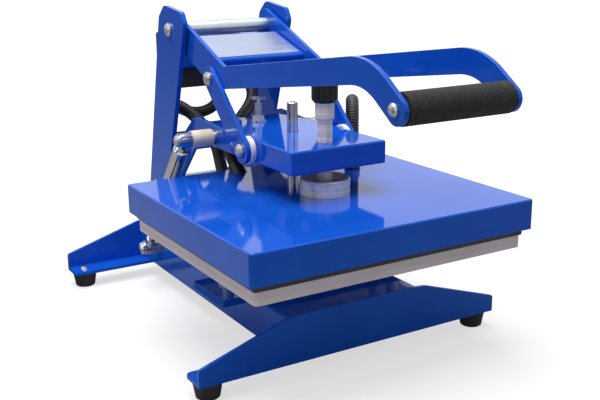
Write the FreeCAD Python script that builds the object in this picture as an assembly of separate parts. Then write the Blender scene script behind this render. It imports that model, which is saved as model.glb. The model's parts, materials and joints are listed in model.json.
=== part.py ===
"""Clamshell heat press: a heated upper platen on a toggle-operated arm over a fixed lower platen.

Press frame, in millimetres: X to the operator's right, Y from the operator to the back, Z up.
The hinge and the uprights are symmetric about X = 0 and the rubber feet stand on Z = 0. The exported
solids are moved along Y so that the origin is under the middle of the machine.
"""
import FreeCAD, Part
import math
import os

V = FreeCAD.Vector

# ---- Driving dimensions -------------------------------------------------------------------
# pivots and spring ends, as (Y, Z) in the side view
PIVOT_TOP = (271.0, 398.0)        # lever pivot at the head of the uprights
PIVOT_LEVER = (152.0, 341.0)      # lever to link
PIVOT_LINK = (64.0, 257.5)        # link to head arm
PIVOT_HEAD = (342.0, 150.0)       # head arm hinge, a little below the pressing faces
SPRING_TOP = (165.0, 258.0)       # gas spring eye on the head arm
SPRING_BASE = (320.0, 62.0)       # gas spring eye on the base
GRIP = (-252.0, 355.0)            # handle grip axis
HEAD_OPEN_DEG = 25.0              # how far the head arm lifts

# widths across the machine: distances of faces from the middle plane
ARM_HALF = 70.0                   # head arm, outside
LEVER_PLATE = 6.0
LINK_PLATE = 6.0
UPRIGHT_PLATE = 7.0
ARM_SIDE = 1.5                    # room between the arm and a lever plate
LEVER_SIDE = 2.8                  # room for a washer between a lever plate and an upright
CHANNEL_SIDE = 12.7               # how far the base channel stands out past the uprights
SPRING_SIDE = 30.7                # from an upright to the middle of its gas spring
GAP = 0.3                         # side gap between plates that pass each other
RUN = 0.05                        # radial running clearance of pins and sliding rods

# heated head
COVER_W = 400.0
COVER_D = 350.0
COVER_H = 38.5
COVER_TOP = 206.2
COVER_WALL = 2.0
COVER_ROUND = 5.0
HEAT_INSET = 8.0                  # heated plate inside the cover's outline
HEAT_T = 18.0
HEAT_SHOW = 8.5                   # how much of it stands out below the cover
BLANKET_T = 12.0

# lower platen
PAD_INSET = 10.0                  # pad and lower platen inside the cover's outline
PAD_T = 8.0
LOWER_T = 8.0
CARRIER_W = 314.0
CARRIER_D = 84.0
CARRIER_T = 9.5
CARRIER_Y = 25.0                  # middle of the carrier
CARRIER_Z = 84.0                  # underside of the carrier

# base
FOOT_H = 22.0
FOOT_R_TOP = 18.5
FOOT_R_BOTTOM = 14.5
FOOT_EDGE = 20.0                  # from a foot member's end to the middle of its rubber foot
FRONT_FOOT_Y = -66.0
REAR_FOOT_Y = 378.5
MEMBER_HALF = 223.0
MEMBER_FLANGE = 40.0
MEMBER_T = 4.5
FRONT_END_H = 22.5                # height of the front member's ends
REAR_END_H = 26.0
FRONT_TOP_H = 62.5
REAR_TOP_H = 64.0
FLAT_HALF = 105.0                 # half the flat top of each member
CHANNEL_TOP = 80.0
CHANNEL_T = 4.0

# head arm
ARM_TOP = 272.5
ARM_FRONT = -41.0
ARM_DEPTH = 30.0                  # height of its front and side flanges
ARM_T = 4.0
ARM_TOP_REAR = 205.0              # where the top web ends
ARM_LOBE = 24.0

# uprights, side view
UPRIGHT_BACK_TOP = (288.0, 432.0)
UPRIGHT_FRONT_TOP = (230.0, 424.5)
UPRIGHT_SHOULDER = (220.5, 408.0)
UPRIGHT_FRONT_LOW = (332.0, 80.0)
UPRIGHT_BACK_HIGH = (308.0, 415.0)
UPRIGHT_BACK_LOW = (393.0, 80.0)
BRACE_T = 4.0
BRACE_LOW = 198.0
BRACE_HIGH = 232.0

# lever
LEVER_LOBE = 24.0
LEVER_TOP_CORNER = (122.0, 360.0) # where the lever's top edge meets the handle arm
HANDLE_HALF = 15.0                # half the width of the handle arms
HANDLE_RISE = 7.8                 # degrees that the handle arms climb towards the front
HANDLE_DROP = 35.0                # degrees that their front ends fall
HANDLE_BEND = 80.0
NOSE_R = 17.0
GRIP_R = 17.5
GRIP_ROD_R = 8.0
TUBE_R = 10.5
WEB_T = 3.0
WEB_BACK = (243.0, 390.0)
WEB_FRONT = (160.0, 364.0)
WEB_LIP = 17.0
NAME_PLATE_T = 1.0

# links and pivots
LINK_HALF_TOP = 15.5
LINK_HALF_LOW = 17.0
PIN_TOP_R = 6.0
PIN_LEVER_R = 6.0
PIN_LINK_R = 6.0
PIN_HEAD_R = 8.0
SLEEVE_R = 15.0
WASHER_R = 18.5
BOLT_HEAD_R = 9.5
BOLT_HEAD_H = 6.0
GRIP_HEAD_R = 7.5

# pressure screw and guides
SPINDLE_Y = -5.0                  # the spindle stands a little ahead of the platen's middle
SPINDLE_R = 9.7
SPINDLE_TOP = 309.0
COLLAR_R = 12.0
COLLAR_H = 14.0
KNOB_R = 17.0
KNOB_H = 30.0
RING_R = 32.5
RING_H = 20.0
RING_WALL = 5.0
RING_FLOOR = 4.0
SPINDLE_FOOT_R = 14.0
SPINDLE_FOOT_H = 5.0
NUT_R = 17.0
NUT_H = 14.0
GUIDE_Y = 75.0
GUIDE_R = 7.4
GUIDE_TOP = 312.0
GUIDE_BUSH_R = 11.0
STOP_Y = 170.0
STOP_TOP = 306.0
STOP_R = 5.0
STOP_HEAD_R = 10.5
STOP_NUT_R = 11.0

# gas springs
CYLINDER_R = 11.0
CYLINDER_L = 130.0
ROD_R = 5.0
EYE_R = 11.0
EYE_W = 16.0
EYE_PIN_R = 5.0
SPACER_R = 12.0
SPRING_NUT = 8.0                  # length of the nut between the arm and each spacer
BOSS_R = 12.0

# control box behind the lever pivot
BOX_HALF = 62.0
BOX_FRONT = 340.0
BOX_DEPTH = 44.0
BOX_LOW = 302.0
BOX_HIGH = 386.0
BOX_WALL = 2.0
BRACKET_LOW = 333.0
BRACKET_HIGH = 362.0
BRACKET_T = 3.0
DIAL_X = 30.0
DIAL_Z = 360.0
DIAL_R = 14.0
SWITCH_X = 30.0
SWITCH_Z = 326.0
SWITCH_TILT = 8.0                 # degrees that the rocker leans either way
INLET_X = -28.0
INLET_Z = 328.0
FUSE_X = -28.0
FUSE_Z = 364.0

# corrugated conduits: the points where their straight runs would meet
CONDUIT_R = 9.0
HOOP_R = 9.2
GLAND_R = 11.0
GLAND_HEX = 12.0
HEATER_ROUTE = [(31, 356, 294), (31, 356, 280), (20, 355.5, 265), (-3, 354, 258), (-29, 351, 262),
                (-50, 341, 274), (-60, 317, 281), (-58, 288, 277), (-52, 257, 265),
                (-46.5, 231, 248), (-43, 218, 230), (-42.5, 212, 212), (-43.5, 201, 195.7),
                (-44, 188, 186.6)]
SENSOR_ROUTE = [(47, 326, 319.5), (47, 313, 319.5), (53, 294, 311), (48, 273, 291), (29, 256, 276),
                (5, 233, 268), (-21, 208.5, 254), (-39, 189, 242), (-44, 174, 227.5),
                (-42, 164.5, 215.2)]
HOOP_FEET = ((101.5, 81.5), (135.5, 133.0))   # where the third conduit leaves and meets the cover
HOOP_FOOT_Z = 217.0
HOOP_SHAPE = [(0, 0), (0, 16), (-2.5, 41), (2, 66), (19, 82)]   # half of it: along, up


# ---- Small tools ---------------------------------------------------------------------------
def box(x0, x1, y0, y1, z0, z1):
    """Block between two corners."""
    return Part.makeBox(x1 - x0, y1 - y0, z1 - z0, V(x0, y0, z0))


def rod_x(yz, radius, x0, x1):
    """Round bar along X."""
    return Part.makeCylinder(radius, x1 - x0, V(x0, yz[0], yz[1]), V(1, 0, 0))


def rod_z(x, y, radius, z0, z1):
    """Round bar along Z."""
    return Part.makeCylinder(radius, z1 - z0, V(x, y, z0), V(0, 0, 1))


def toward(a, b, along, across=0.0):
    """Point at a distance along the line from a to b, and across it to its left."""
    length = math.dist(a, b)
    u = ((b[0] - a[0]) / length, (b[1] - a[1]) / length)
    return (a[0] + u[0] * along - u[1] * across, a[1] + u[1] * along + u[0] * across)


def rounded_wire(corners, place):
    """Closed outline of straight runs with tangent arcs; each corner is (p, q, radius)."""
    count = len(corners)
    cuts = []
    for i, (p, q, radius) in enumerate(corners):
        before = corners[i - 1]
        after = corners[(i + 1) % count]
        a = V(before[0] - p, before[1] - q, 0)
        b = V(after[0] - p, after[1] - q, 0)
        half = a.getAngle(b) / 2
        if radius <= 0:
            cuts.append((V(p, q, 0), None, V(p, q, 0)))
            continue
        back = radius / math.tan(half)
        a.normalize()
        b.normalize()
        corner = V(p, q, 0)
        middle = (a + b).normalize()
        top = corner + middle * (radius / math.sin(half) - radius)
        cuts.append((corner + a * back, top, corner + b * back))
    edges = []
    for i in range(count):
        start, top, end = cuts[i]
        if top is not None:
            edges.append(Part.Arc(place(start), place(top), place(end)).toShape())
        nxt = cuts[(i + 1) % count][0]
        if (nxt - end).Length > 1e-6:
            edges.append(Part.LineSegment(place(end), place(nxt)).toShape())
    return Part.Wire(Part.__sortEdges__(edges))


def side_plate(corners, x0, x1):
    """Flat plate seen from the side: its outline is in (Y, Z) and it runs from x0 to x1."""
    wire = rounded_wire(corners, lambda p: V(x0, p.x, p.y))
    return Part.Face(wire).extrude(V(x1 - x0, 0, 0))


def front_plate(corners, y0, y1):
    """Flat plate seen from the front: its outline is in (X, Z) and it runs from y0 to y1."""
    wire = rounded_wire(corners, lambda p: V(p.x, y0, p.y))
    return Part.Face(wire).extrude(V(0, y1 - y0, 0))


def mirrored(shape):
    """The same piece on the other side of the machine."""
    return shape.mirror(V(0, 0, 0), V(1, 0, 0))


def dome_head(yz, x, radius, height, sign):
    """Domed bolt head that stands out from the face at x, to the side that sign says."""
    outline = [V(0, 0, 0), V(0, radius, 0), V(height * 0.42, radius, 0),
               V(height * 0.82, radius * 0.74, 0), V(height, radius * 0.35, 0), V(height, 0, 0), V(0, 0, 0)]
    head = Part.Face(Part.makePolygon(outline)).revolve(V(0, 0, 0), V(1, 0, 0), 360)
    if sign < 0:
        head = head.mirror(V(0, 0, 0), V(1, 0, 0))
    head.translate(V(x, yz[0], yz[1]))
    return head


def through_bolt(yz, radius, half, head_r=BOLT_HEAD_R, head_h=BOLT_HEAD_H):
    """Bar right across the machine with a domed head on the outside of each side."""
    bar = rod_x(yz, radius, -half, half)
    left = dome_head(yz, -half, head_r, head_h, -1)
    right = dome_head(yz, half, head_r, head_h, 1)
    return bar.fuse([left, right]).removeSplitter()


def group(shapes):
    """Separate solids kept in one node."""
    return Part.makeCompound(shapes)


# ---- Levels worked out from the driving dimensions ------------------------------------------
COVER_BOTTOM = COVER_TOP - COVER_H
HEAT_BOTTOM = COVER_BOTTOM - HEAT_SHOW
PAD_TOP = HEAT_BOTTOM - GAP
PAD_BOTTOM = PAD_TOP - PAD_T
LOWER_BOTTOM = PAD_BOTTOM - LOWER_T
ARM_UNDER = ARM_TOP - ARM_DEPTH
LEVER_IN = ARM_HALF + ARM_SIDE
LEVER_OUT = LEVER_IN + LEVER_PLATE
LINK_IN = LEVER_OUT + 2 * GAP
LINK_OUT = LINK_IN + LINK_PLATE
UPRIGHT_IN = LEVER_OUT + LEVER_SIDE
UPRIGHT_OUT = UPRIGHT_IN + UPRIGHT_PLATE
CHANNEL_HALF = UPRIGHT_OUT + CHANNEL_SIDE
SPRING_PLANE = UPRIGHT_OUT + SPRING_SIDE
FOOT_X = MEMBER_HALF - FOOT_EDGE
FRONT_WEB = FRONT_FOOT_Y - MEMBER_FLANGE / 2
REAR_WEB = REAR_FOOT_Y + MEMBER_FLANGE / 2
MEMBER_TOP = FOOT_H + MEMBER_T
SPRING_DIR = V(0, SPRING_BASE[0] - SPRING_TOP[0], SPRING_BASE[1] - SPRING_TOP[1])
SPRING_LEN = SPRING_DIR.Length


# ---- Base -----------------------------------------------------------------------------------
def foot_member(web_face, inward, end_h, top_h):
    """Angle across the machine: an upright web and a flange that turns in along its bottom."""
    low = FOOT_H
    corners = [(-MEMBER_HALF, low, 0), (MEMBER_HALF, low, 0), (MEMBER_HALF, low + end_h, 4),
               (FLAT_HALF, low + top_h - 2, 12), (FLAT_HALF * 0.8, low + top_h, 40),
               (-FLAT_HALF * 0.8, low + top_h, 40), (-FLAT_HALF, low + top_h - 2, 12),
               (-MEMBER_HALF, low + end_h, 4)]
    web = front_plate(corners, web_face, web_face + inward * MEMBER_T)
    y0, y1 = sorted((web_face, web_face + inward * MEMBER_FLANGE))
    flange = box(-MEMBER_HALF, MEMBER_HALF, y0, y1, low, low + MEMBER_T)
    corners_y = web_face + inward * MEMBER_FLANGE
    rounding = [e for e in flange.Edges
                if len(e.Vertexes) == 2 and all(abs(v.Point.y - corners_y) < 1e-6 for v in e.Vertexes)
                and abs(e.Vertexes[0].Point.z - e.Vertexes[1].Point.z) > 1]
    flange = flange.makeFillet(8, rounding)
    member = web.fuse(flange).removeSplitter()
    middle = web_face + inward * MEMBER_FLANGE / 2
    for x in (-FOOT_X, FOOT_X):
        member = member.cut(rod_z(x, middle, 4.2, low - 1, low + MEMBER_T + 1))
    return member


def rubber_feet():
    """Four tapered feet, each with a recess for its screw."""
    feet = []
    for x in (-FOOT_X, FOOT_X):
        for y in (FRONT_FOOT_Y, REAR_FOOT_Y):
            foot = Part.makeCone(FOOT_R_BOTTOM, FOOT_R_TOP, FOOT_H, V(x, y, 0), V(0, 0, 1))
            lower = [e for e in foot.Edges if e.BoundBox.ZMax < 1e-6 and len(e.Vertexes) == 1]
            foot = foot.makeChamfer(1.2, lower)
            feet.append(foot.cut(rod_z(x, y, 4.0, FOOT_H - 12, FOOT_H + 1)))
    return group(feet)


def base_screws():
    """Screws that hold the rubber feet to the flanges, and bolts through the rear web."""
    screws = []
    for x in (-FOOT_X, FOOT_X):
        for y in (FRONT_FOOT_Y, REAR_FOOT_Y):
            shank = rod_z(x, y, 4.0, FOOT_H - 12, MEMBER_TOP)
            head = Part.makeCone(6.5, 4.5, 3.5, V(x, y, MEMBER_TOP), V(0, 0, 1))
            screws.append(shank.fuse(head))
    for x in (-60, 60):
        for z in (42, 64):
            shank = Part.makeCylinder(4, 10, V(x, REAR_WEB, z), V(0, -1, 0))
            head = Part.makeCylinder(7, 4.5, V(x, REAR_WEB, z), V(0, 1, 0))
            screws.append(shank.fuse(head))
    return group(screws)


def base_channel():
    """Inverted channel that joins the two foot members and carries the uprights."""
    y0 = FRONT_WEB + MEMBER_T
    y1 = REAR_WEB - MEMBER_T
    outer = box(-CHANNEL_HALF, CHANNEL_HALF, y0, y1, MEMBER_TOP, CHANNEL_TOP)
    folds = [e for e in outer.Edges
             if abs(e.Vertexes[0].Point.y - e.Vertexes[1].Point.y) > 1
             and e.BoundBox.ZMin > CHANNEL_TOP - 1e-6]
    outer = outer.makeFillet(CHANNEL_T + 2, folds)
    inner = box(-CHANNEL_HALF + CHANNEL_T, CHANNEL_HALF - CHANNEL_T, y0 - 1, y1 + 1,
                MEMBER_TOP - 1, CHANNEL_TOP - CHANNEL_T)
    inner = inner.makeFillet(2, [e for e in inner.Edges
                                 if abs(e.Vertexes[0].Point.y - e.Vertexes[1].Point.y) > 1
                                 and e.BoundBox.ZMin > CHANNEL_TOP - CHANNEL_T - 1e-6])
    channel = outer.cut(inner)
    return channel.cut(rod_x(SPRING_BASE, EYE_PIN_R, -CHANNEL_HALF - 1, CHANNEL_HALF + 1))


def spring_bosses():
    """Bosses on the channel's sides that the lower spring ends stand off from."""
    x0 = CHANNEL_HALF
    x1 = SPRING_PLANE - EYE_W / 2 - GAP
    bosses = []
    for sign in (-1, 1):
        a, b = sorted((sign * x0, sign * x1))
        boss = rod_x(SPRING_BASE, BOSS_R, a, b)
        c, d = sorted((sign * (x0 - CHANNEL_T), sign * x0))
        e, f = sorted((sign * (x0 - CHANNEL_T - 8), sign * (x0 - CHANNEL_T)))
        stud = rod_x(SPRING_BASE, EYE_PIN_R, c, d)
        nut = rod_x(SPRING_BASE, EYE_PIN_R + 4, e, f)
        bosses.append(boss.fuse([stud, nut]).removeSplitter())
    return group(bosses)


def upright(sign):
    """Side cheek that leans forward, wider at its head, with both pivots bored through it."""
    corners = [(*UPRIGHT_BACK_TOP, 14), (*UPRIGHT_FRONT_TOP, 9), (*UPRIGHT_SHOULDER, 12),
               (*UPRIGHT_FRONT_LOW, 0), (*UPRIGHT_BACK_LOW, 0), (*UPRIGHT_BACK_HIGH, 12)]
    plate = side_plate(corners, UPRIGHT_IN, UPRIGHT_OUT)
    plate = plate.cut([rod_x(PIVOT_TOP, PIN_TOP_R, UPRIGHT_IN - 1, UPRIGHT_OUT + 1),
                       rod_x(PIVOT_HEAD, PIN_HEAD_R, UPRIGHT_IN - 1, UPRIGHT_OUT + 1)])
    foot = box(UPRIGHT_IN - 22, UPRIGHT_IN, UPRIGHT_FRONT_LOW[0] + 6, UPRIGHT_BACK_LOW[0] - 6,
               CHANNEL_TOP, CHANNEL_TOP + 5)
    plate = plate.fuse(foot).removeSplitter()
    return plate if sign > 0 else mirrored(plate)


def rear_brace():
    """Plate between the uprights along their back edges."""
    def back_edge(z):
        share = (UPRIGHT_BACK_HIGH[1] - z) / (UPRIGHT_BACK_HIGH[1] - UPRIGHT_BACK_LOW[1])
        return UPRIGHT_BACK_HIGH[0] + share * (UPRIGHT_BACK_LOW[0] - UPRIGHT_BACK_HIGH[0])
    corners = [(back_edge(BRACE_LOW) - 1, BRACE_LOW, 0), (back_edge(BRACE_HIGH) - 1, BRACE_HIGH, 0),
               (back_edge(BRACE_HIGH) - 1 - BRACE_T, BRACE_HIGH, 0),
               (back_edge(BRACE_LOW) - 1 - BRACE_T, BRACE_LOW, 0)]
    return side_plate(corners, -UPRIGHT_IN, UPRIGHT_IN)


def shaft_washers():
    """Washers on the two shafts, between the uprights and what turns inside them."""
    washers = []
    for yz, radius, bore, x0 in ((PIVOT_TOP, 13, PIN_TOP_R, LEVER_OUT + GAP),
                                 (PIVOT_HEAD, 17, PIN_HEAD_R, ARM_HALF + GAP)):
        right = rod_x(yz, radius, x0, UPRIGHT_IN).cut(rod_x(yz, bore, x0 - 1, UPRIGHT_IN + 1))
        washers += [mirrored(right), right]
    return group(washers)


def platen_carrier():
    """Bar under the lower platen, longer than the channel is wide."""
    bar = box(-CARRIER_W / 2, CARRIER_W / 2, CARRIER_Y - CARRIER_D / 2, CARRIER_Y + CARRIER_D / 2,
              CARRIER_Z, CARRIER_Z + CARRIER_T)
    return bar.makeFillet(3, [e for e in bar.Edges
                              if abs(e.Vertexes[0].Point.z - e.Vertexes[1].Point.z) > 1])


def carrier_block():
    """Packing block between the channel and the carrier."""
    return box(-CHANNEL_HALF + 20, CHANNEL_HALF - 20, CARRIER_Y - CARRIER_D / 2 + 8,
               CARRIER_Y + CARRIER_D / 2 - 8, CHANNEL_TOP, CARRIER_Z)


def platen_posts():
    """Four short posts that hold the lower platen up from its carrier, with jam nuts."""
    posts = []
    for x in (-CARRIER_W / 2 + 40, CARRIER_W / 2 - 40):
        for y in (CARRIER_Y - CARRIER_D / 2 + 20, CARRIER_Y + CARRIER_D / 2 - 20):
            post = rod_z(x, y, 8, CARRIER_Z + CARRIER_T, LOWER_BOTTOM)
            nut = hex_bar(x, y, 13, LOWER_BOTTOM - 8, LOWER_BOTTOM)
            foot = hex_bar(x, y, 13, CARRIER_Z + CARRIER_T, CARRIER_Z + CARRIER_T + 8)
            posts.append(post.fuse([nut, foot]).removeSplitter())
    return group(posts)


def hex_bar(x, y, radius, z0, z1):
    """Six-sided bar along Z, radius to its corners."""
    points = [V(x + radius * math.cos(math.radians(60 * k)), y + radius * math.sin(math.radians(60 * k)), z0)
              for k in range(7)]
    return Part.Face(Part.makePolygon(points)).extrude(V(0, 0, z1 - z0))


def flat_slab(inset, z0, z1, corner, edge):
    """Platen-sized slab with rounded corners and softened rims."""
    hx = COVER_W / 2 - inset
    hy = COVER_D / 2 - inset
    slab = box(-hx, hx, -hy, hy, z0, z1)
    slab = slab.makeFillet(corner, [e for e in slab.Edges
                                    if abs(e.Vertexes[0].Point.z - e.Vertexes[1].Point.z) > 1])
    if edge > 0:
        rim = [e for e in slab.Edges if e.BoundBox.ZMax - e.BoundBox.ZMin < 1e-6]
        slab = slab.makeChamfer(edge, rim)
    return slab


# ---- Head arm -------------------------------------------------------------------------------
def arm_outline():
    """Side view of the head arm, from its nose to the lobe round its hinge."""
    hinge = PIVOT_HEAD
    ear = (PIVOT_HEAD[0] - 99, ARM_TOP)
    return [(ARM_FRONT, ARM_UNDER, 3), (ARM_FRONT, ARM_TOP, 3),
            (SPRING_TOP[0] - 20, ARM_TOP, 0), (ear[0] - 22, ARM_TOP + 4.5, 12),
            (ear[0], ARM_TOP - 1, 8), (hinge[0] + ARM_LOBE, hinge[1] + ARM_LOBE, ARM_LOBE),
            (hinge[0] + ARM_LOBE, hinge[1] - ARM_LOBE, ARM_LOBE),
            (hinge[0] - 8, hinge[1] - ARM_LOBE, ARM_LOBE * 0.65),
            (hinge[0] - 118, ARM_UNDER - 1.5, 20)]


def head_arm():
    """Folded channel: two side cheeks, a top web and a front lip in one piece."""
    block = side_plate(arm_outline(), -ARM_HALF, ARM_HALF)
    front_edges = [e for e in block.Edges
                   if abs(e.Vertexes[0].Point.z - e.Vertexes[-1].Point.z) > 5
                   and abs(e.Vertexes[0].Point.y - ARM_FRONT) < 1e-6
                   and abs(e.Vertexes[-1].Point.y - ARM_FRONT) < 1e-6]
    block = block.makeFillet(2.5, front_edges)
    inside = ARM_HALF - ARM_T
    hollow = box(-inside, inside, ARM_FRONT + ARM_T, ARM_TOP_REAR, 0, ARM_TOP - ARM_T)
    rear = box(-inside, inside, ARM_TOP_REAR - 0.01, PIVOT_HEAD[0] + 100, 0, ARM_TOP + 50)
    above = box(-inside, inside, ARM_FRONT - 10, ARM_TOP_REAR, ARM_TOP, ARM_TOP + 50)
    arm = block.cut([hollow, rear, above])
    bores = [rod_x(PIVOT_HEAD, PIN_HEAD_R + RUN, -ARM_HALF - 1, ARM_HALF + 1),
             rod_x(PIVOT_LINK, PIN_LINK_R, -ARM_HALF - 1, ARM_HALF + 1),
             rod_x(SPRING_TOP, EYE_PIN_R, -ARM_HALF - 1, ARM_HALF + 1),
             rod_z(0, SPINDLE_Y, SPINDLE_R + 1, 200, 330),
             rod_z(0, GUIDE_Y, GUIDE_R + 1, 200, 330),
             rod_z(0, STOP_Y, STOP_R, 200, 330)]
    return arm.cut(bores)


def hinge_sleeve():
    """Tube between the arm's cheeks that turns on the hinge shaft."""
    inside = ARM_HALF - ARM_T
    tube = rod_x(PIVOT_HEAD, SLEEVE_R, -inside, inside)
    return tube.cut(rod_x(PIVOT_HEAD, PIN_HEAD_R + RUN, -inside - 1, inside + 1))


def spindle_nut():
    """Threaded nut welded under the arm's top web."""
    nut = hex_bar(0, SPINDLE_Y, NUT_R, ARM_TOP - ARM_T - NUT_H, ARM_TOP - ARM_T)
    return nut.cut(rod_z(0, SPINDLE_Y, SPINDLE_R + RUN, 200, 330))


def guide_bush():
    """Bush that keeps the guide pin square to the arm."""
    body = rod_z(0, GUIDE_Y, GUIDE_BUSH_R, ARM_TOP - ARM_T - 10, ARM_TOP - ARM_T)
    neck = rod_z(0, GUIDE_Y, GUIDE_R + 1, ARM_TOP - ARM_T, ARM_TOP)
    bore = rod_z(0, GUIDE_Y, GUIDE_R + RUN, 200, 330)
    return body.fuse(neck).cut(bore)


def stop_bolt():
    """Upside-down countersunk bolt with a flange nut that sets how far the lever closes."""
    shank = rod_z(0, STOP_Y, STOP_R, ARM_TOP - ARM_T - 10, STOP_TOP - 3)
    head = Part.makeCone(STOP_R, STOP_HEAD_R, 5, V(0, STOP_Y, STOP_TOP - 7), V(0, 0, 1))
    crown = rod_z(0, STOP_Y, STOP_HEAD_R, STOP_TOP - 2, STOP_TOP)
    flange = rod_z(0, STOP_Y, STOP_NUT_R, ARM_TOP, ARM_TOP + 2)
    nut = hex_bar(0, STOP_Y, STOP_NUT_R - 1.5, ARM_TOP + 2, ARM_TOP + 8)
    under = hex_bar(0, STOP_Y, STOP_NUT_R - 1.5, ARM_TOP - ARM_T - 7, ARM_TOP - ARM_T)
    return shank.fuse([head, crown, flange, nut, under]).removeSplitter()


def link_washer():
    """Thick nylon washer between the head arm and the link."""
    washer = rod_x(PIVOT_LINK, WASHER_R, ARM_HALF, LINK_IN - GAP)
    washer = washer.makeChamfer(1.2, [e for e in washer.Edges if len(e.Vertexes) == 1])
    return washer.cut(rod_x(PIVOT_LINK, PIN_LINK_R, ARM_HALF - 1, LINK_IN + 1))


def link_studs():
    """Studs in the arm's cheeks on which the nylon washers sit, with nuts inside."""
    studs = []
    for sign in (-1, 1):
        a, b = sorted((sign * (ARM_HALF - ARM_T), sign * (LINK_IN - GAP)))
        c, d = sorted((sign * (ARM_HALF - ARM_T - 8), sign * (ARM_HALF - ARM_T)))
        stud = rod_x(PIVOT_LINK, PIN_LINK_R, a, b)
        nut = rod_x(PIVOT_LINK, PIN_LINK_R + 4.5, c, d)
        studs.append(stud.fuse(nut).removeSplitter())
    return group(studs)


def spring_spacer():
    """Cream nylon sleeve that holds the gas spring clear of the upright."""
    x1 = SPRING_PLANE - EYE_W / 2 - GAP - 1.5
    sleeve = rod_x(SPRING_TOP, SPACER_R, ARM_HALF + SPRING_NUT, x1)
    return sleeve.cut(rod_x(SPRING_TOP, EYE_PIN_R, ARM_HALF, x1 + 1))


def spring_bolts():
    """Bolts that carry the spring's upper eyes, each with washers and a locking nut."""
    bolts = []
    for sign in (-1, 1):
        tip = SPRING_PLANE + EYE_W / 2 + GAP
        a, b = sorted((sign * (ARM_HALF - ARM_T - 6), sign * tip))
        bolt = rod_x(SPRING_TOP, EYE_PIN_R, a, b)
        parts = [dome_head(SPRING_TOP, sign * tip, 8.5, 6, sign)]
        for x0, x1, radius in ((ARM_HALF, ARM_HALF + SPRING_NUT, 10.0),
                               (SPRING_PLANE - EYE_W / 2 - GAP - 1.5, SPRING_PLANE - EYE_W / 2 - GAP, 10.5),
                               (ARM_HALF - ARM_T - 6, ARM_HALF - ARM_T, 9.0)):
            c, d = sorted((sign * x0, sign * x1))
            parts.append(rod_x(SPRING_TOP, radius, c, d))
        bolts.append(bolt.fuse(parts).removeSplitter())
    return group(bolts)


# ---- Lever, handle and links ------------------------------------------------------------------
def lever_outline():
    """Side view of one lever plate, from the lobe round its pivot to the nose at the grip."""
    rise = math.radians(HANDLE_RISE)
    drop = math.radians(HANDLE_DROP)
    d1 = (-math.cos(rise), math.sin(rise))
    d2 = (-math.cos(drop), -math.sin(drop))
    n1 = (math.sin(rise), math.cos(rise))
    n2 = (-math.sin(drop), math.cos(drop))
    start = (LEVER_TOP_CORNER[0] - n1[0] * HANDLE_HALF, LEVER_TOP_CORNER[1] - n1[1] * HANDLE_HALF)
    det = d1[0] * d2[1] - d1[1] * d2[0]
    s = ((GRIP[0] - start[0]) * d2[1] - (GRIP[1] - start[1]) * d2[0]) / det
    bend = (start[0] + d1[0] * s, start[1] + d1[1] * s)
    half_turn = (rise + drop) / 2
    out = HANDLE_HALF / math.cos(half_turn)
    mid = (-math.sin((drop - rise) / 2), math.cos((drop - rise) / 2))
    top_bend = (bend[0] + mid[0] * out, bend[1] + mid[1] * out)
    low_bend = (bend[0] - mid[0] * out, bend[1] - mid[1] * out)
    ahead = (GRIP[0] + d2[0] * NOSE_R, GRIP[1] + d2[1] * NOSE_R)
    low_back = (PIVOT_LEVER[0] - 3, LEVER_TOP_CORNER[1] - 2 * HANDLE_HALF / math.cos(rise)
                - (PIVOT_LEVER[0] - 3 - LEVER_TOP_CORNER[0]) * math.tan(rise))
    away = toward(PIVOT_TOP, PIVOT_LEVER, -LEVER_LOBE, -20)
    near = toward(PIVOT_TOP, PIVOT_LEVER, -LEVER_LOBE, 20)
    return [(*away, 18), (*LEVER_TOP_CORNER, 12), (*top_bend, HANDLE_BEND + HANDLE_HALF),
            (ahead[0] + n2[0] * HANDLE_HALF, ahead[1] + n2[1] * HANDLE_HALF, HANDLE_HALF - 0.5),
            (ahead[0] - n2[0] * HANDLE_HALF, ahead[1] - n2[1] * HANDLE_HALF, HANDLE_HALF - 0.5),
            (*low_bend, HANDLE_BEND - HANDLE_HALF), (*low_back, 12), (*near, 18)]


def lever_plate(sign):
    """Lever cheek and handle arm cut from one plate."""
    plate = side_plate(lever_outline(), LEVER_IN, LEVER_OUT)
    plate = plate.cut([rod_x(PIVOT_TOP, PIN_TOP_R + RUN, LEVER_IN - 1, LEVER_OUT + 1),
                       rod_x(PIVOT_LEVER, PIN_LEVER_R, LEVER_IN - 1, LEVER_OUT + 1),
                       rod_x(GRIP, 5, LEVER_IN - 1, LEVER_OUT + 1)])
    return plate if sign > 0 else mirrored(plate)


def pivot_tube():
    """Bright tube between the lever cheeks that turns on the top bolt."""
    tube = rod_x(PIVOT_TOP, TUBE_R, -LEVER_IN, LEVER_IN)
    return tube.cut(rod_x(PIVOT_TOP, PIN_TOP_R + RUN, -LEVER_IN - 1, LEVER_IN + 1))


def lever_web():
    """Sheet across the lever cheeks with its front edge folded down."""
    slope = math.dist(WEB_BACK, WEB_FRONT)
    under_back = toward(WEB_BACK, WEB_FRONT, 0, WEB_T)
    under_front = toward(WEB_BACK, WEB_FRONT, slope - WEB_T, WEB_T)
    lip = toward(WEB_BACK, WEB_FRONT, slope, WEB_LIP)
    lip_in = toward(WEB_BACK, WEB_FRONT, slope - WEB_T, WEB_LIP)
    corners = [(*WEB_BACK, 0), (*WEB_FRONT, WEB_T + 1), (*lip, 0), (*lip_in, 0),
               (*under_front, 1), (*under_back, 0)]
    return side_plate(corners, -LEVER_IN, LEVER_IN)


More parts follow.
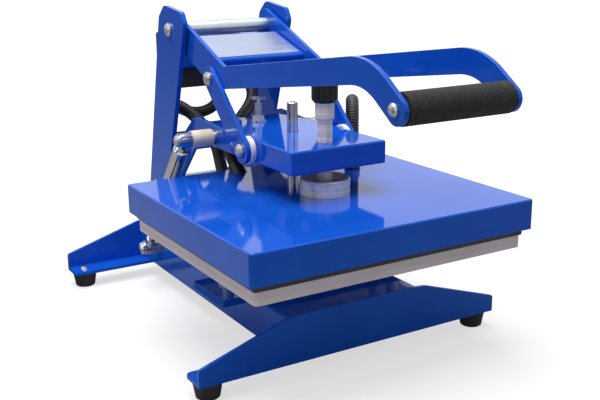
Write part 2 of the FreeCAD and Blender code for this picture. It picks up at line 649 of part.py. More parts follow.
def name_plate():
    """Blank bright plate on the lever web."""
    length = math.dist(WEB_BACK, WEB_FRONT)
    a = toward(WEB_BACK, WEB_FRONT, 5, 0)
    b = toward(WEB_BACK, WEB_FRONT, length - 6, 0)
    c = toward(WEB_BACK, WEB_FRONT, length - 6, -NAME_PLATE_T)
    d = toward(WEB_BACK, WEB_FRONT, 5, -NAME_PLATE_T)
    return side_plate([(*a, 0), (*b, 0), (*c, 0), (*d, 0)], -LEVER_IN + 4, LEVER_IN - 4)


def lever_pin(sign):
    """Pin with a domed head on which the link turns."""
    tip = LINK_OUT + GAP
    pin = rod_x(PIVOT_LEVER, PIN_LEVER_R, LEVER_IN, tip)
    nut = rod_x(PIVOT_LEVER, PIN_LEVER_R + 4, LEVER_IN - 7, LEVER_IN)
    pin = pin.fuse([nut, dome_head(PIVOT_LEVER, tip, BOLT_HEAD_R, BOLT_HEAD_H, 1)])
    pin = pin.removeSplitter()
    return pin if sign > 0 else mirrored(pin)


def grip_rod():
    """Steel bar through the foam, shouldered against the handle arms."""
    return rod_x(GRIP, GRIP_ROD_R, -LEVER_IN, LEVER_IN)


def foam_grip():
    """Foam sleeve with softly rounded ends."""
    end = LEVER_IN - 1.5
    foam = rod_x(GRIP, GRIP_R, -end, end)
    foam = foam.makeChamfer(3, [e for e in foam.Edges if len(e.Vertexes) == 1])
    return foam.cut(rod_x(GRIP, GRIP_ROD_R, -end - 1, end + 1))


def grip_bolts():
    """Domed bolts that hold the bar between the handle arms."""
    bolts = []
    for sign in (-1, 1):
        a, b = sorted((sign * LEVER_IN, sign * LEVER_OUT))
        bolts.append(rod_x(GRIP, 5, a, b).fuse(dome_head(GRIP, sign * LEVER_OUT, GRIP_HEAD_R, 5, sign)))
    return group(bolts)


def link(sign):
    """Flat bar from the lever to the head arm, a little wider at its lower end."""
    top, low = PIVOT_LEVER, PIVOT_LINK
    length = math.dist(top, low)
    corners = [(*toward(top, low, -LINK_HALF_TOP, LINK_HALF_TOP), LINK_HALF_TOP - 0.5),
               (*toward(top, low, length + LINK_HALF_LOW, LINK_HALF_LOW), LINK_HALF_LOW - 0.5),
               (*toward(top, low, length + LINK_HALF_LOW, -LINK_HALF_LOW), LINK_HALF_LOW - 0.5),
               (*toward(top, low, -LINK_HALF_TOP, -LINK_HALF_TOP), LINK_HALF_TOP - 0.5)]
    bar = side_plate(corners, LINK_IN, LINK_OUT)
    bar = bar.cut([rod_x(top, PIN_LEVER_R + RUN, LINK_IN - 1, LINK_OUT + 1),
                   rod_x(low, PIN_LINK_R, LINK_IN - 1, LINK_OUT + 1)])
    return bar if sign > 0 else mirrored(bar)


def link_bolt(sign):
    """Domed bolt in the lower end of the link."""
    bolt = rod_x(PIVOT_LINK, PIN_LINK_R, LINK_IN, LINK_OUT)
    bolt = bolt.fuse(dome_head(PIVOT_LINK, LINK_OUT, BOLT_HEAD_R, BOLT_HEAD_H, 1)).removeSplitter()
    return bolt if sign > 0 else mirrored(bolt)


# ---- Heated head and pressure screw ---------------------------------------------------------
def platen_cover():
    """Folded sheet cover, open below, with softened folds."""
    hx, hy = COVER_W / 2, COVER_D / 2
    outer = box(-hx, hx, -hy, hy, COVER_BOTTOM, COVER_TOP)
    outer = outer.makeFillet(COVER_ROUND, [e for e in outer.Edges
                                           if abs(e.Vertexes[0].Point.z - e.Vertexes[1].Point.z) > 1])
    outer = outer.makeFillet(2.5, [e for e in outer.Edges if e.BoundBox.ZMin > COVER_TOP - 1e-6])
    w = COVER_WALL
    inner = box(-hx + w, hx - w, -hy + w, hy - w, COVER_BOTTOM - 1, COVER_TOP - w)
    inner = inner.makeFillet(COVER_ROUND - w, [e for e in inner.Edges
                                               if abs(e.Vertexes[0].Point.z - e.Vertexes[1].Point.z) > 1])
    return outer.cut(inner)


def pressure_ring():
    """Turned steel cup on the cover that the spindle presses into."""
    ring = rod_z(0, SPINDLE_Y, RING_R, COVER_TOP, COVER_TOP + RING_H)
    ring = ring.makeChamfer(0.8, [e for e in ring.Edges if e.BoundBox.ZMin > COVER_TOP + RING_H - 1e-6
                                  and len(e.Vertexes) == 1])
    return ring.cut(rod_z(0, SPINDLE_Y, RING_R - RING_WALL, COVER_TOP + RING_FLOOR, COVER_TOP + RING_H + 1))


def guide_pin():
    """Chromed pin that stands on the cover and slides through the arm, with a bored top."""
    pin = rod_z(0, GUIDE_Y, GUIDE_R, COVER_TOP, GUIDE_TOP)
    pin = pin.makeChamfer(0.7, [e for e in pin.Edges if e.BoundBox.ZMin > GUIDE_TOP - 1e-6
                                and len(e.Vertexes) == 1])
    return pin.cut(rod_z(0, GUIDE_Y, GUIDE_R - 2.6, GUIDE_TOP - 12, GUIDE_TOP + 1))


def spindle():
    """Pressure screw with a foot inside the cup and a collar under the knob."""
    foot_z = COVER_TOP + RING_FLOOR + GAP
    foot = rod_z(0, SPINDLE_Y, SPINDLE_FOOT_R, foot_z, foot_z + SPINDLE_FOOT_H)
    shaft = rod_z(0, SPINDLE_Y, SPINDLE_R, foot_z, SPINDLE_TOP)
    collar = Part.makeCone(COLLAR_R - 2, COLLAR_R, 4, V(0, SPINDLE_Y, SPINDLE_TOP), V(0, 0, 1))
    collar_top = rod_z(0, SPINDLE_Y, COLLAR_R, SPINDLE_TOP + 4, SPINDLE_TOP + COLLAR_H)
    return shaft.fuse([foot, collar, collar_top]).removeSplitter()


def knob():
    """Round knob with a chamfered foot and finger flutes."""
    z0 = SPINDLE_TOP + COLLAR_H
    lower = Part.makeCone(KNOB_R - 3, KNOB_R, 4, V(0, SPINDLE_Y, z0), V(0, 0, 1))
    body = rod_z(0, SPINDLE_Y, KNOB_R, z0 + 4, z0 + KNOB_H)
    body = body.fuse(lower).removeSplitter()
    body = body.makeChamfer(2.5, [e for e in body.Edges if e.BoundBox.ZMin > z0 + KNOB_H - 1e-6
                               and len(e.Vertexes) == 1])
    reach = KNOB_R + 3.4
    flutes = [rod_z(reach * math.cos(math.radians(a)), SPINDLE_Y + reach * math.sin(math.radians(a)),
                    5, z0 - 1, z0 + KNOB_H + 1) for a in range(15, 375, 45)]
    return body.cut(flutes)


# ---- Gas springs ----------------------------------------------------------------------------
def along_spring(distance):
    """Point on the spring's axis, measured from its upper eye."""
    unit = V(SPRING_DIR).normalize()
    return V(SPRING_PLANE, SPRING_TOP[0], SPRING_TOP[1]) + unit * distance


def eye(yz, bore):
    """Spring end: a ring with its bore across the machine."""
    ring = rod_x(yz, EYE_R, SPRING_PLANE - EYE_W / 2, SPRING_PLANE + EYE_W / 2)
    if bore > 0:
        ring = ring.cut(rod_x(yz, bore, SPRING_PLANE - EYE_W, SPRING_PLANE + EYE_W))
    return ring


def spring_cylinder(sign):
    """Pressure tube with a rolled lower end and an open bore for its rod."""
    unit = V(SPRING_DIR).normalize()
    tube = Part.makeCylinder(CYLINDER_R, CYLINDER_L, along_spring(EYE_R + 6), unit)
    tube = tube.makeChamfer(2, [e for e in tube.Edges if len(e.Vertexes) == 1])
    neck = Part.makeCylinder(6, EYE_R + 8, along_spring(0), unit)
    neck = neck.cut(rod_x(SPRING_TOP, EYE_R - 1, SPRING_PLANE - EYE_W, SPRING_PLANE + EYE_W))
    bore = Part.makeCylinder(ROD_R + RUN, CYLINDER_L, along_spring(EYE_R + 22), unit)
    body = tube.fuse([neck, eye(SPRING_TOP, EYE_PIN_R + RUN)]).removeSplitter().cut(bore)
    return body if sign > 0 else mirrored(body)


def spring_rod(sign):
    """Polished rod with its lower eye and the bolt that the eye turns with."""
    unit = V(SPRING_DIR).normalize()
    start = EYE_R + 24
    rod = Part.makeCylinder(ROD_R, SPRING_LEN - start, along_spring(start), unit)
    end = eye(SPRING_BASE, 0)
    ferrule = Part.makeCylinder(7.5, 14, along_spring(SPRING_LEN - EYE_R - 13), unit)
    tip = SPRING_PLANE + EYE_W / 2
    head = dome_head(SPRING_BASE, tip, 9.5, 7, 1)
    body = rod.fuse([end, ferrule, head]).removeSplitter()
    return body if sign > 0 else mirrored(body)


# ---- Control box ----------------------------------------------------------------------------
def box_opening(x0, x1, y0, y1, z0, z1, radius):
    """Block whose four edges along Y are rounded."""
    block = box(x0, x1, y0, y1, z0, z1)
    return block.makeFillet(radius, [e for e in block.Edges
                                     if abs(e.Vertexes[0].Point.y - e.Vertexes[1].Point.y) > 1e-3])


def control_box():
    """Sheet box, open at the back, bored for its two glands."""
    back = BOX_FRONT + BOX_DEPTH
    w = BOX_WALL
    shell = box_opening(-BOX_HALF, BOX_HALF, BOX_FRONT, back - w, BOX_LOW, BOX_HIGH, 4)
    hollow = box_opening(-BOX_HALF + w, BOX_HALF - w, BOX_FRONT + w, back, BOX_LOW + w, BOX_HIGH - w, 2)
    down, ahead = HEATER_ROUTE[0], SENSOR_ROUTE[0]
    return shell.cut([hollow, rod_z(down[0], down[1], CONDUIT_R - 1, BOX_LOW - 1, BOX_LOW + w + 1),
                      rod_y(ahead[0], ahead[2], CONDUIT_R - 1, BOX_FRONT - 1, BOX_FRONT + w + 1)])


def box_lid():
    """Back plate of the box with its openings."""
    back = BOX_FRONT + BOX_DEPTH
    lid = box_opening(-BOX_HALF, BOX_HALF, back - BOX_WALL, back, BOX_LOW, BOX_HIGH, 4)
    y0, y1 = back - BOX_WALL - 1, back + 1
    return lid.cut([rod_y(DIAL_X, DIAL_Z, 3 + RUN, y0, y1), rod_y(FUSE_X, FUSE_Z, 6, y0, y1),
                    box(SWITCH_X - 9, SWITCH_X + 9, y0, y1, SWITCH_Z - 14.5, SWITCH_Z + 14.5),
                    box(INLET_X - 14, INLET_X + 14, y0, y1, INLET_Z - 10, INLET_Z + 10)])


def rod_y(x, z, radius, y0, y1):
    """Round bar along Y."""
    return Part.makeCylinder(radius, y1 - y0, V(x, y0, z), V(0, 1, 0))


def box_fittings():
    """Mains inlet, fuse holder and the frame of the switch, all set in the back plate."""
    face = BOX_FRONT + BOX_DEPTH
    flange = box_opening(INLET_X - 24, INLET_X + 24, face, face + 3, INLET_Z - 14, INLET_Z + 14, 5)
    body = box(INLET_X - 14, INLET_X + 14, face - 16, face, INLET_Z - 10, INLET_Z + 10)
    socket = box(INLET_X - 12, INLET_X + 12, face - 13, face + 4, INLET_Z - 8, INLET_Z + 8)
    inlet = flange.fuse(body).removeSplitter().cut(socket)
    for x, z in ((-7, 0), (0, 3), (7, 0)):
        inlet = inlet.fuse(box(INLET_X + x - 1, INLET_X + x + 1, face - 13, face - 3,
                               INLET_Z + z - 2.5, INLET_Z + z + 2.5))
    holder = rod_y(FUSE_X, FUSE_Z, 6, face - 18, face).fuse(rod_y(FUSE_X, FUSE_Z, 8, face, face + 2.5))
    cap = rod_y(FUSE_X, FUSE_Z, 6.5, face + 2.5, face + 9)
    cap = cap.cut(box(FUSE_X - 7, FUSE_X + 7, face + 7.5, face + 10, FUSE_Z - 0.8, FUSE_Z + 0.8))
    rim = box_opening(SWITCH_X - 12, SWITCH_X + 12, face, face + 2, SWITCH_Z - 17, SWITCH_Z + 17, 2)
    frame = rim.fuse(box(SWITCH_X - 9, SWITCH_X + 9, face - 12, face,
                         SWITCH_Z - 14.5, SWITCH_Z + 14.5)).removeSplitter()
    frame = frame.cut([box(SWITCH_X - 7, SWITCH_X + 7, face - 10, face + 3,
                           SWITCH_Z - 12.5, SWITCH_Z + 12.5),
                       rod_x((face - 2, SWITCH_Z), 1.2 + RUN, SWITCH_X - 8.5, SWITCH_X + 8.5)])
    return group([inlet, holder.fuse(cap).removeSplitter(), frame])


def rocker_switch():
    """Rocker between two stub pins, leaning to its off side."""
    y, z = BOX_FRONT + BOX_DEPTH - 2, SWITCH_Z
    corners = [(y - 3.5, z - 5, 1.5), (y + 2, z - 10, 1), (y + 5.5, z - 10, 1), (y + 4, z, 10),
               (y + 5.5, z + 10, 1), (y + 2, z + 10, 1), (y - 3.5, z + 5, 1.5)]
    body = side_plate(corners, SWITCH_X - 6.6, SWITCH_X + 6.6)
    body = body.fuse(rod_x((y, z), 1.2, SWITCH_X - 8.4, SWITCH_X + 8.4)).removeSplitter()
    body.rotate(V(0, y, z), V(1, 0, 0), SWITCH_TILT)
    return body


def heat_dial():
    """Dial with a pointer rib, on a shaft through the back plate."""
    face = BOX_FRONT + BOX_DEPTH
    shaft = rod_y(DIAL_X, DIAL_Z, 3, face - 10, face + 3)
    skirt = rod_y(DIAL_X, DIAL_Z, DIAL_R, face + GAP, face + 4)
    grip = rod_y(DIAL_X, DIAL_Z, DIAL_R - 3.5, face + 4, face + 12)
    rib = box(DIAL_X - 1.2, DIAL_X + 1.2, face + 4, face + 13, DIAL_Z, DIAL_Z + DIAL_R - 1)
    return shaft.fuse([skirt, grip, rib]).removeSplitter()


def box_bracket():
    """Plate across the backs of the uprights with a tab inside each, which carries the box."""
    back = box(-UPRIGHT_IN, UPRIGHT_IN, BOX_FRONT - BRACKET_T, BOX_FRONT, BRACKET_LOW, BRACKET_HIGH)
    tabs = [box(x, x + 2.3, 306, BOX_FRONT - BRACKET_T, BRACKET_LOW, BRACKET_HIGH)
            for x in (-UPRIGHT_IN, UPRIGHT_IN - 2.3)]
    return back.fuse(tabs).removeSplitter()


# ---- Conduits -------------------------------------------------------------------------------
def conduit(name, points, radius):
    """Round conduit along straight runs joined by tangent arcs."""
    route = [V(*p) for p in points]
    runs = [(b - a).Length for a, b in zip(route, route[1:])]
    edges = []
    here = route[0]
    length = 0.0
    bends = []
    for i in range(1, len(route) - 1):
        back = (route[i - 1] - route[i]).normalize()
        on = (route[i + 1] - route[i]).normalize()
        turn = math.pi - back.getAngle(on)
        cut = 0.45 * min(runs[i - 1], runs[i])
        bend = cut / math.tan(turn / 2)
        bends.append(round(bend, 1))
        a = route[i] + back * cut
        b = route[i] + on * cut
        middle = (back + on).normalize()
        top = route[i] + middle * (bend / math.cos(turn / 2) - bend)
        edges.append(Part.LineSegment(here, a).toShape())
        edges.append(Part.Arc(a, top, b).toShape())
        length += (a - here).Length + bend * turn
        here = b
    edges.append(Part.LineSegment(here, route[-1]).toShape())
    length += (route[-1] - here).Length
    sweep = Part.BRepOffsetAPI.MakePipeShell(Part.Wire(edges))
    sweep.setFrenetMode(False)
    sweep.add(Part.Wire(Part.makeCircle(radius, route[0], route[1] - route[0])))
    sweep.build()
    sweep.makeSolid()
    tube = sweep.shape()
    print(name, "length", round(length, 1), "radii", bends,
          "volume ratio", round(tube.Volume / (math.pi * radius ** 2 * length), 4))
    return tube


def hoop_route():
    """Route of the third conduit, up from the cover, over and down to it again."""
    (x0, y0), (x1, y1) = HOOP_FEET
    span = math.dist(HOOP_FEET[0], HOOP_FEET[1])
    ux, uy = (x1 - x0) / span, (y1 - y0) / span
    half = [(x0 + ux * s, y0 + uy * s, HOOP_FOOT_Z + h) for s, h in HOOP_SHAPE]
    rest = [(x1 - ux * s, y1 - uy * s, HOOP_FOOT_Z + h) for s, h in reversed(HOOP_SHAPE)]
    return half + rest


def gland(face, inside, seat, normal, wall):
    """Hexagonal base on a surface, a neck through it and a round nut that meets the conduit.

    face and inside are the conduit's last point and the one before it."""
    seat, normal = V(*seat), V(*normal)
    out = (V(*inside) - V(*face)).normalize()
    corners = [V(GLAND_HEX * math.cos(math.radians(60 * k)), GLAND_HEX * math.sin(math.radians(60 * k)), 0)
               for k in range(7)]
    base = Part.Face(Part.makePolygon(corners)).extrude(V(0, 0, 3.5))
    base.Placement = FreeCAD.Placement(seat, FreeCAD.Rotation(V(0, 0, 1), normal))
    reach = (V(*face) - seat).dot(normal) / out.dot(normal) + 12
    nut = Part.makeCylinder(GLAND_R, reach, V(*face) - out * reach, out)
    outside = Part.makeCylinder(60, 60, seat, normal)
    neck = Part.makeCylinder(CONDUIT_R - 1, wall, seat - normal * wall, normal)
    return nut.common(outside).fuse([base, neck]).removeSplitter()


def box_glands():
    """Glands under the box and on its front, with lock nuts inside."""
    w = BOX_WALL
    down, ahead = HEATER_ROUTE[0], SENSOR_ROUTE[0]
    low = gland(down, HEATER_ROUTE[1], (down[0], down[1], BOX_LOW), (0, 0, -1), w)
    low = low.fuse(rod_z(down[0], down[1], GLAND_R, BOX_LOW + w, BOX_LOW + w + 4))
    front = gland(ahead, SENSOR_ROUTE[1], (ahead[0], BOX_FRONT, ahead[2]), (0, -1, 0), w)
    front = front.fuse(rod_y(ahead[0], ahead[2], CONDUIT_R + 1, BOX_FRONT + w, BOX_FRONT + w + 4))
    return group([low.removeSplitter(), front.removeSplitter()])


def cover_gland_seats():
    """Where each gland stands on the cover: the conduit's end, the point before, seat and normal."""
    hoop = hoop_route()
    rear = COVER_D / 2
    seats = []
    for end, before, normal in ((HEATER_ROUTE[-1], HEATER_ROUTE[-2], (0, 1, 0)),
                                (SENSOR_ROUTE[-1], SENSOR_ROUTE[-2], (0, 0, 1)),
                                (hoop[0], hoop[1], (0, 0, 1)), (hoop[-1], hoop[-2], (0, 0, 1))):
        out = (V(*before) - V(*end)).normalize()
        level = rear - end[1] if normal[1] else COVER_TOP - end[2]
        seat = V(*end) + out * (level / out.dot(V(*normal)))
        own = end not in (hoop[0], hoop[-1])
        seats.append((V(*end) - out * (GAP if own else 0), before, seat, normal))
    return seats


def cover_glands():
    """Glands on the cover; two of them lean the way that their conduits come in."""
    return group([gland(end, before, seat, normal, COVER_WALL)
                  for end, before, seat, normal in cover_gland_seats()])


# ---- The machine ----------------------------------------------------------------------------
def build():
    """Every node by name, in the press frame."""
    nodes = {}
    nodes["front_foot"] = foot_member(FRONT_WEB, 1, FRONT_END_H, FRONT_TOP_H)
    nodes["rear_foot"] = foot_member(REAR_WEB, -1, REAR_END_H, REAR_TOP_H)
    rear_holes = [Part.makeCylinder(4, 40, V(x, REAR_WEB + 5, z), V(0, -1, 0))
                  for x in (-60, 60) for z in (42, 64)]
    nodes["rear_foot"] = nodes["rear_foot"].cut(rear_holes)
    nodes["base_channel"] = base_channel()
    nodes["rubber_feet"] = rubber_feet()
    nodes["base_screws"] = base_screws()
    nodes["spring_bosses"] = spring_bosses()
    nodes["platen_carrier"] = platen_carrier()
    nodes["carrier_block"] = carrier_block()
    nodes["platen_posts"] = platen_posts()
    nodes["lower_platen"] = flat_slab(PAD_INSET, LOWER_BOTTOM, PAD_BOTTOM, 6, 0)
    nodes["silicone_pad"] = flat_slab(PAD_INSET, PAD_BOTTOM, PAD_TOP, 6, 0)
    nodes["left_upright"] = upright(-1)
    nodes["right_upright"] = upright(1)
    nodes["rear_brace"] = rear_brace()
    nodes["top_pivot_bolt"] = through_bolt(PIVOT_TOP, PIN_TOP_R, UPRIGHT_OUT)
    nodes["hinge_shaft"] = through_bolt(PIVOT_HEAD, PIN_HEAD_R, UPRIGHT_OUT, 12, 7)
    nodes["shaft_washers"] = shaft_washers()
    nodes["box_bracket"] = box_bracket()
    nodes["control_box"] = control_box()
    nodes["box_lid"] = box_lid()
    nodes["box_fittings"] = box_fittings()
    nodes["rocker_switch"] = rocker_switch()
    nodes["heat_dial"] = heat_dial()
    nodes["box_glands"] = box_glands()
    nodes["heater_conduit"] = conduit("heater_conduit", HEATER_ROUTE, CONDUIT_R)
    nodes["sensor_conduit"] = conduit("sensor_conduit", SENSOR_ROUTE, CONDUIT_R)

    nodes["head_arm"] = head_arm()
    nodes["hinge_sleeve"] = hinge_sleeve()
    nodes["spindle_nut"] = spindle_nut()
    nodes["guide_bush"] = guide_bush()
    nodes["stop_bolt"] = stop_bolt()
    nodes["link_studs"] = link_studs()
    right = link_washer()
    nodes["nylon_washers"] = group([mirrored(right), right])
    right = spring_spacer()
    nodes["spring_spacers"] = group([mirrored(right), right])
    nodes["spring_bolts"] = spring_bolts()

    necks = [Part.makeCylinder(CONDUIT_R - 1, 2 * COVER_WALL, seat - V(*normal) * 1.5 * COVER_WALL,
                               V(*normal)) for _, _, seat, normal in cover_gland_seats()]
    nodes["platen_cover"] = platen_cover().cut(necks)
    nodes["cover_glands"] = cover_glands()
    nodes["cover_conduit"] = conduit("cover_conduit", hoop_route(), HOOP_R)
    nodes["heat_platen"] = flat_slab(HEAT_INSET, HEAT_BOTTOM, HEAT_BOTTOM + HEAT_T, 4, 0.8)
    nodes["insulation_blanket"] = flat_slab(HEAT_INSET + 4, HEAT_BOTTOM + HEAT_T,
                                            COVER_TOP - COVER_WALL, 4, 0)
    nodes["pressure_ring"] = pressure_ring()
    nodes["guide_pin"] = guide_pin()
    nodes["spindle"] = spindle()
    nodes["pressure_knob"] = knob()

    nodes["left_lever_plate"] = lever_plate(-1)
    nodes["right_lever_plate"] = lever_plate(1)
    nodes["pivot_tube"] = pivot_tube()
    nodes["lever_web"] = lever_web()
    nodes["name_plate"] = name_plate()
    nodes["lever_pins"] = group([lever_pin(-1), lever_pin(1)])
    nodes["grip_rod"] = grip_rod()
    nodes["foam_grip"] = foam_grip()
    nodes["grip_bolts"] = grip_bolts()
    for side, sign in (("left", -1), ("right", 1)):
        nodes[side + "_link"] = link(sign)
        nodes[side + "_spring_cylinder"] = spring_cylinder(sign)
        nodes[side + "_spring_rod"] = spring_rod(sign)
    nodes["link_bolts"] = group([link_bolt(-1), link_bolt(1)])
    return nodes


def main():
    """Centre the machine over its origin and write one file for each node."""
    os.makedirs("parts", exist_ok=True)
    nodes = build()
    boxes = [shape.optimalBoundingBox(False) for shape in nodes.values()]
    front = min(b.YMin for b in boxes)
    back = max(b.YMax for b in boxes)
    shift = -(front + back) / 2
    for name, shape in nodes.items():
        shape.translate(V(0, shift, 0))
        shape.exportStep("parts/" + name + ".step")
    print("nodes", len(nodes), "shift along Y", round(shift, 4))
    print("length", round(back - front, 2), "width",
          round(max(b.XMax for b in boxes) - min(b.XMin for b in boxes), 2),
          "height", round(max(b.ZMax for b in boxes) - min(b.ZMin for b in boxes), 2))


main()
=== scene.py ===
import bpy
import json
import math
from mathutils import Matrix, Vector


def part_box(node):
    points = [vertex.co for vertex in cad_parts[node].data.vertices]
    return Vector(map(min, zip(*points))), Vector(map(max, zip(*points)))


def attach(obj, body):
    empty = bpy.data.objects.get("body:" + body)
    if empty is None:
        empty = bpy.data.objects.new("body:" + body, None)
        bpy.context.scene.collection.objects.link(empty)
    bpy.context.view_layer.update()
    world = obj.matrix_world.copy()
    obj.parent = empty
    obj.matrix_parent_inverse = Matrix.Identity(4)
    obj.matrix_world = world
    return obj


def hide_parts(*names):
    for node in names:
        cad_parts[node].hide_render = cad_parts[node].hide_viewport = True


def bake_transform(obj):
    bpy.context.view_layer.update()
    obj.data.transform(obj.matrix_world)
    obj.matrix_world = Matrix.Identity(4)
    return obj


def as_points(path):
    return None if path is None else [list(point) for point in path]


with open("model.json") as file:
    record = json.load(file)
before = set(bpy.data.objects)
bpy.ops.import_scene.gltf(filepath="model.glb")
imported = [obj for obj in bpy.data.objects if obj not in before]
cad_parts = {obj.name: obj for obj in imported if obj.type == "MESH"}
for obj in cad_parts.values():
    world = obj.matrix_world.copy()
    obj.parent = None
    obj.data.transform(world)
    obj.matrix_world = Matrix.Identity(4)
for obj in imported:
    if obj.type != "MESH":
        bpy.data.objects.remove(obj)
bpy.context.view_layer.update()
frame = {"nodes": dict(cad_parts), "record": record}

# %% [markdown]
# # A swing-over heat press
#
# A blue steel bench press: a U-section base on two cross feet, a flat lower
# bed, a heated upper plate under a folded cover, and a toggle handle that
# pulls the head arm down. The engineering model gives every part its size and
# its joint. This lesson dresses it: hoses, finishes, softened folds and studio.
#
# We first read which finish slot each part of the model takes.

record = frame["record"]
slot_of = {part["node"]: part["material_slot"] for part in record["subparts"]}
scene = bpy.context.scene

# %% [markdown]
# ## The camera
#
# The press is seen from its front left corner, a little above the bed, with a
# lens slightly longer than normal. A camera can be aimed with a Track To
# constraint, but here its three axes are worked out from a heading, a dip and
# a small roll, because then every number has a plain meaning and can be
# corrected on its own.

# %% Place the camera
HEADING, DIP, ROLL = math.radians(31.066), math.radians(15.329), math.radians(-0.493)
STAND = (-0.61496, -1.030604, 0.50795)
ahead = Vector((math.sin(HEADING) * math.cos(DIP), math.cos(HEADING) * math.cos(DIP), -math.sin(DIP)))
side = ahead.cross(Vector((0, 0, 1))).normalized()
above = side.cross(ahead)
level_x = math.cos(ROLL) * side + math.sin(ROLL) * above
level_y = math.cos(ROLL) * above - math.sin(ROLL) * side

camera_data = bpy.data.cameras.new("camera")
camera_data.sensor_width = 36
camera_data.lens = 54.962  # both in millimetres
camera_data.clip_start, camera_data.clip_end = 0.05, 30
camera = bpy.data.objects.new("camera", camera_data)
scene.collection.objects.link(camera)
camera.matrix_world = Matrix((level_x, level_y, -ahead)).transposed().to_4x4()
camera.matrix_world.translation = STAND
scene.camera = camera
print("camera", [round(v, 3) for v in camera.matrix_world.translation])

# %% [markdown]
# ## The ribbed hoses
#
# Three black corrugated conduits carry the heater and sensor wires. A
# conduit is a soft tube with rolled rings, so it bends in one smooth line and
# never kinks. The line could be a bevelled curve, but a bevel gives a smooth
# pipe. So a curve is used only for the centre line, and the rings are set
# along it one after another, wide and narrow in turn.
#
# The guide points are those of the engineering model, in metres from the middle.

# %% Guide points of the hoses
HOSE_RADIUS, HOOP_RADIUS = 0.0090, 0.0092

heater_points = [
    (0.031, 0.28925, 0.294), (0.031, 0.28925, 0.280), (0.020, 0.28875, 0.265), (-0.003, 0.28725, 0.258),
    (-0.029, 0.28425, 0.262), (-0.050, 0.27425, 0.274), (-0.060, 0.25025, 0.281), (-0.058, 0.22125, 0.277),
    (-0.052, 0.19025, 0.265), (-0.0465, 0.16425, 0.248), (-0.043, 0.15125, 0.230), (-0.0425, 0.14525, 0.212),
    (-0.0435, 0.13425, 0.1957), (-0.044, 0.12125, 0.1866)]
sensor_points = [
    (0.047, 0.25925, 0.3195), (0.047, 0.24625, 0.3195), (0.053, 0.22725, 0.311), (0.048, 0.20625, 0.291),
    (0.029, 0.18925, 0.276), (0.005, 0.16625, 0.268), (-0.021, 0.14175, 0.254), (-0.039, 0.12225, 0.242),
    (-0.044, 0.10725, 0.2275), (-0.042, 0.09775, 0.2152)]
hoop_points = [
    (0.1015, 0.01475, 0.217), (0.1015, 0.01475, 0.233), (0.100123, 0.012664, 0.258),
    (0.102602, 0.016419, 0.283), (0.111968, 0.030606, 0.299), (0.125032, 0.050394, 0.299),
    (0.134398, 0.064581, 0.283), (0.136877, 0.068335, 0.258), (0.1355, 0.06625, 0.233),
    (0.1355, 0.06625, 0.217)]
print("guide points:", len(heater_points), len(sensor_points), len(hoop_points))

# %% [markdown]
# A NURBS spline is pulled towards its points without having to touch them,
# which is just how a springy hose behaves. Its order and its end setting are
# given after the points, because before that they have nothing to act on.
# Blender then turns the spline into a fine chain of points for us.

# %% The centre line of a hose
def centre_line(name, guide_points):
    curve = bpy.data.curves.new(name, "CURVE")
    curve.dimensions = "3D"
    spline = curve.splines.new("NURBS")
    spline.points.add(len(guide_points) - 1)
    for knot, place in zip(spline.points, guide_points):
        knot.co = (*place, 1)
    spline.order_u = 3
    spline.use_endpoint_u = True
    spline.resolution_u = 20
    holder = bpy.data.objects.new(name, curve)
    scene.collection.objects.link(holder)
    chain = bpy.data.meshes.new_from_object(holder)
    line = [v.co.copy() for v in chain.vertices]
    bpy.data.objects.remove(holder)
    bpy.data.curves.remove(curve)
    bpy.data.meshes.remove(chain)
    return line

def line_length(line):
    return sum((b - a).length for a, b in zip(line, line[1:]))

# %% [markdown]
# The rings ride on a frame that is carried along the line without twisting.
# Each ring of the hose is six loops of corners: a short groove, a rise, a
# rounded crest and a fall. A number called "crest" is stored on every corner,
# so that the finish can later darken the grooves with painted shade.

# %% The shape of one ring
RING_PITCH, GROOVE = 0.0032, 0.0005
# How far along the ring each loop stands, and how high, from groove 0 to crest 1.
RING_SHAPE = [(0.00, 0.0), (0.22, 0.0), (0.36, 0.72), (0.50, 1.0), (0.74, 1.0), (0.88, 0.72)]
print("a ring every", RING_PITCH * 1000, "mm")

# %% Walk along the line, and set the loops on it
def walk(line, distances):
    """Yields a place on the line, and two directions across it there, for each distance."""
    travelled, at = 0.0, 0
    across = (line[1] - line[0]).normalized().orthogonal().normalized()
    for distance in distances:
        while at < len(line) - 2 and travelled + (line[at + 1] - line[at]).length < distance:
            travelled += (line[at + 1] - line[at]).length
            at += 1
        step = line[at + 1] - line[at]
        share = min(1, (distance - travelled) / step.length)
        before, after = line[max(at - 1, 0)], line[min(at + 2, len(line) - 1)]
        heading = (line[at + 1] - before).lerp(after - line[at], share).normalized()
        across = (across - heading * across.dot(heading)).normalized()
        yield line[at] + step * share, across, heading.cross(across)

def tube_faces(loops, around):
    """Joins loop to loop with four-sided faces, and closes both ends."""
    faces = []
    for start in range(0, (loops - 1) * around, around):
        for turn in range(around):
            a, b = start + turn, start + (turn + 1) % around
            faces.append((a, b, b + around, a + around))
    last = (loops - 1) * around
    return faces + [tuple(reversed(range(around))), tuple(range(last, last + around))]

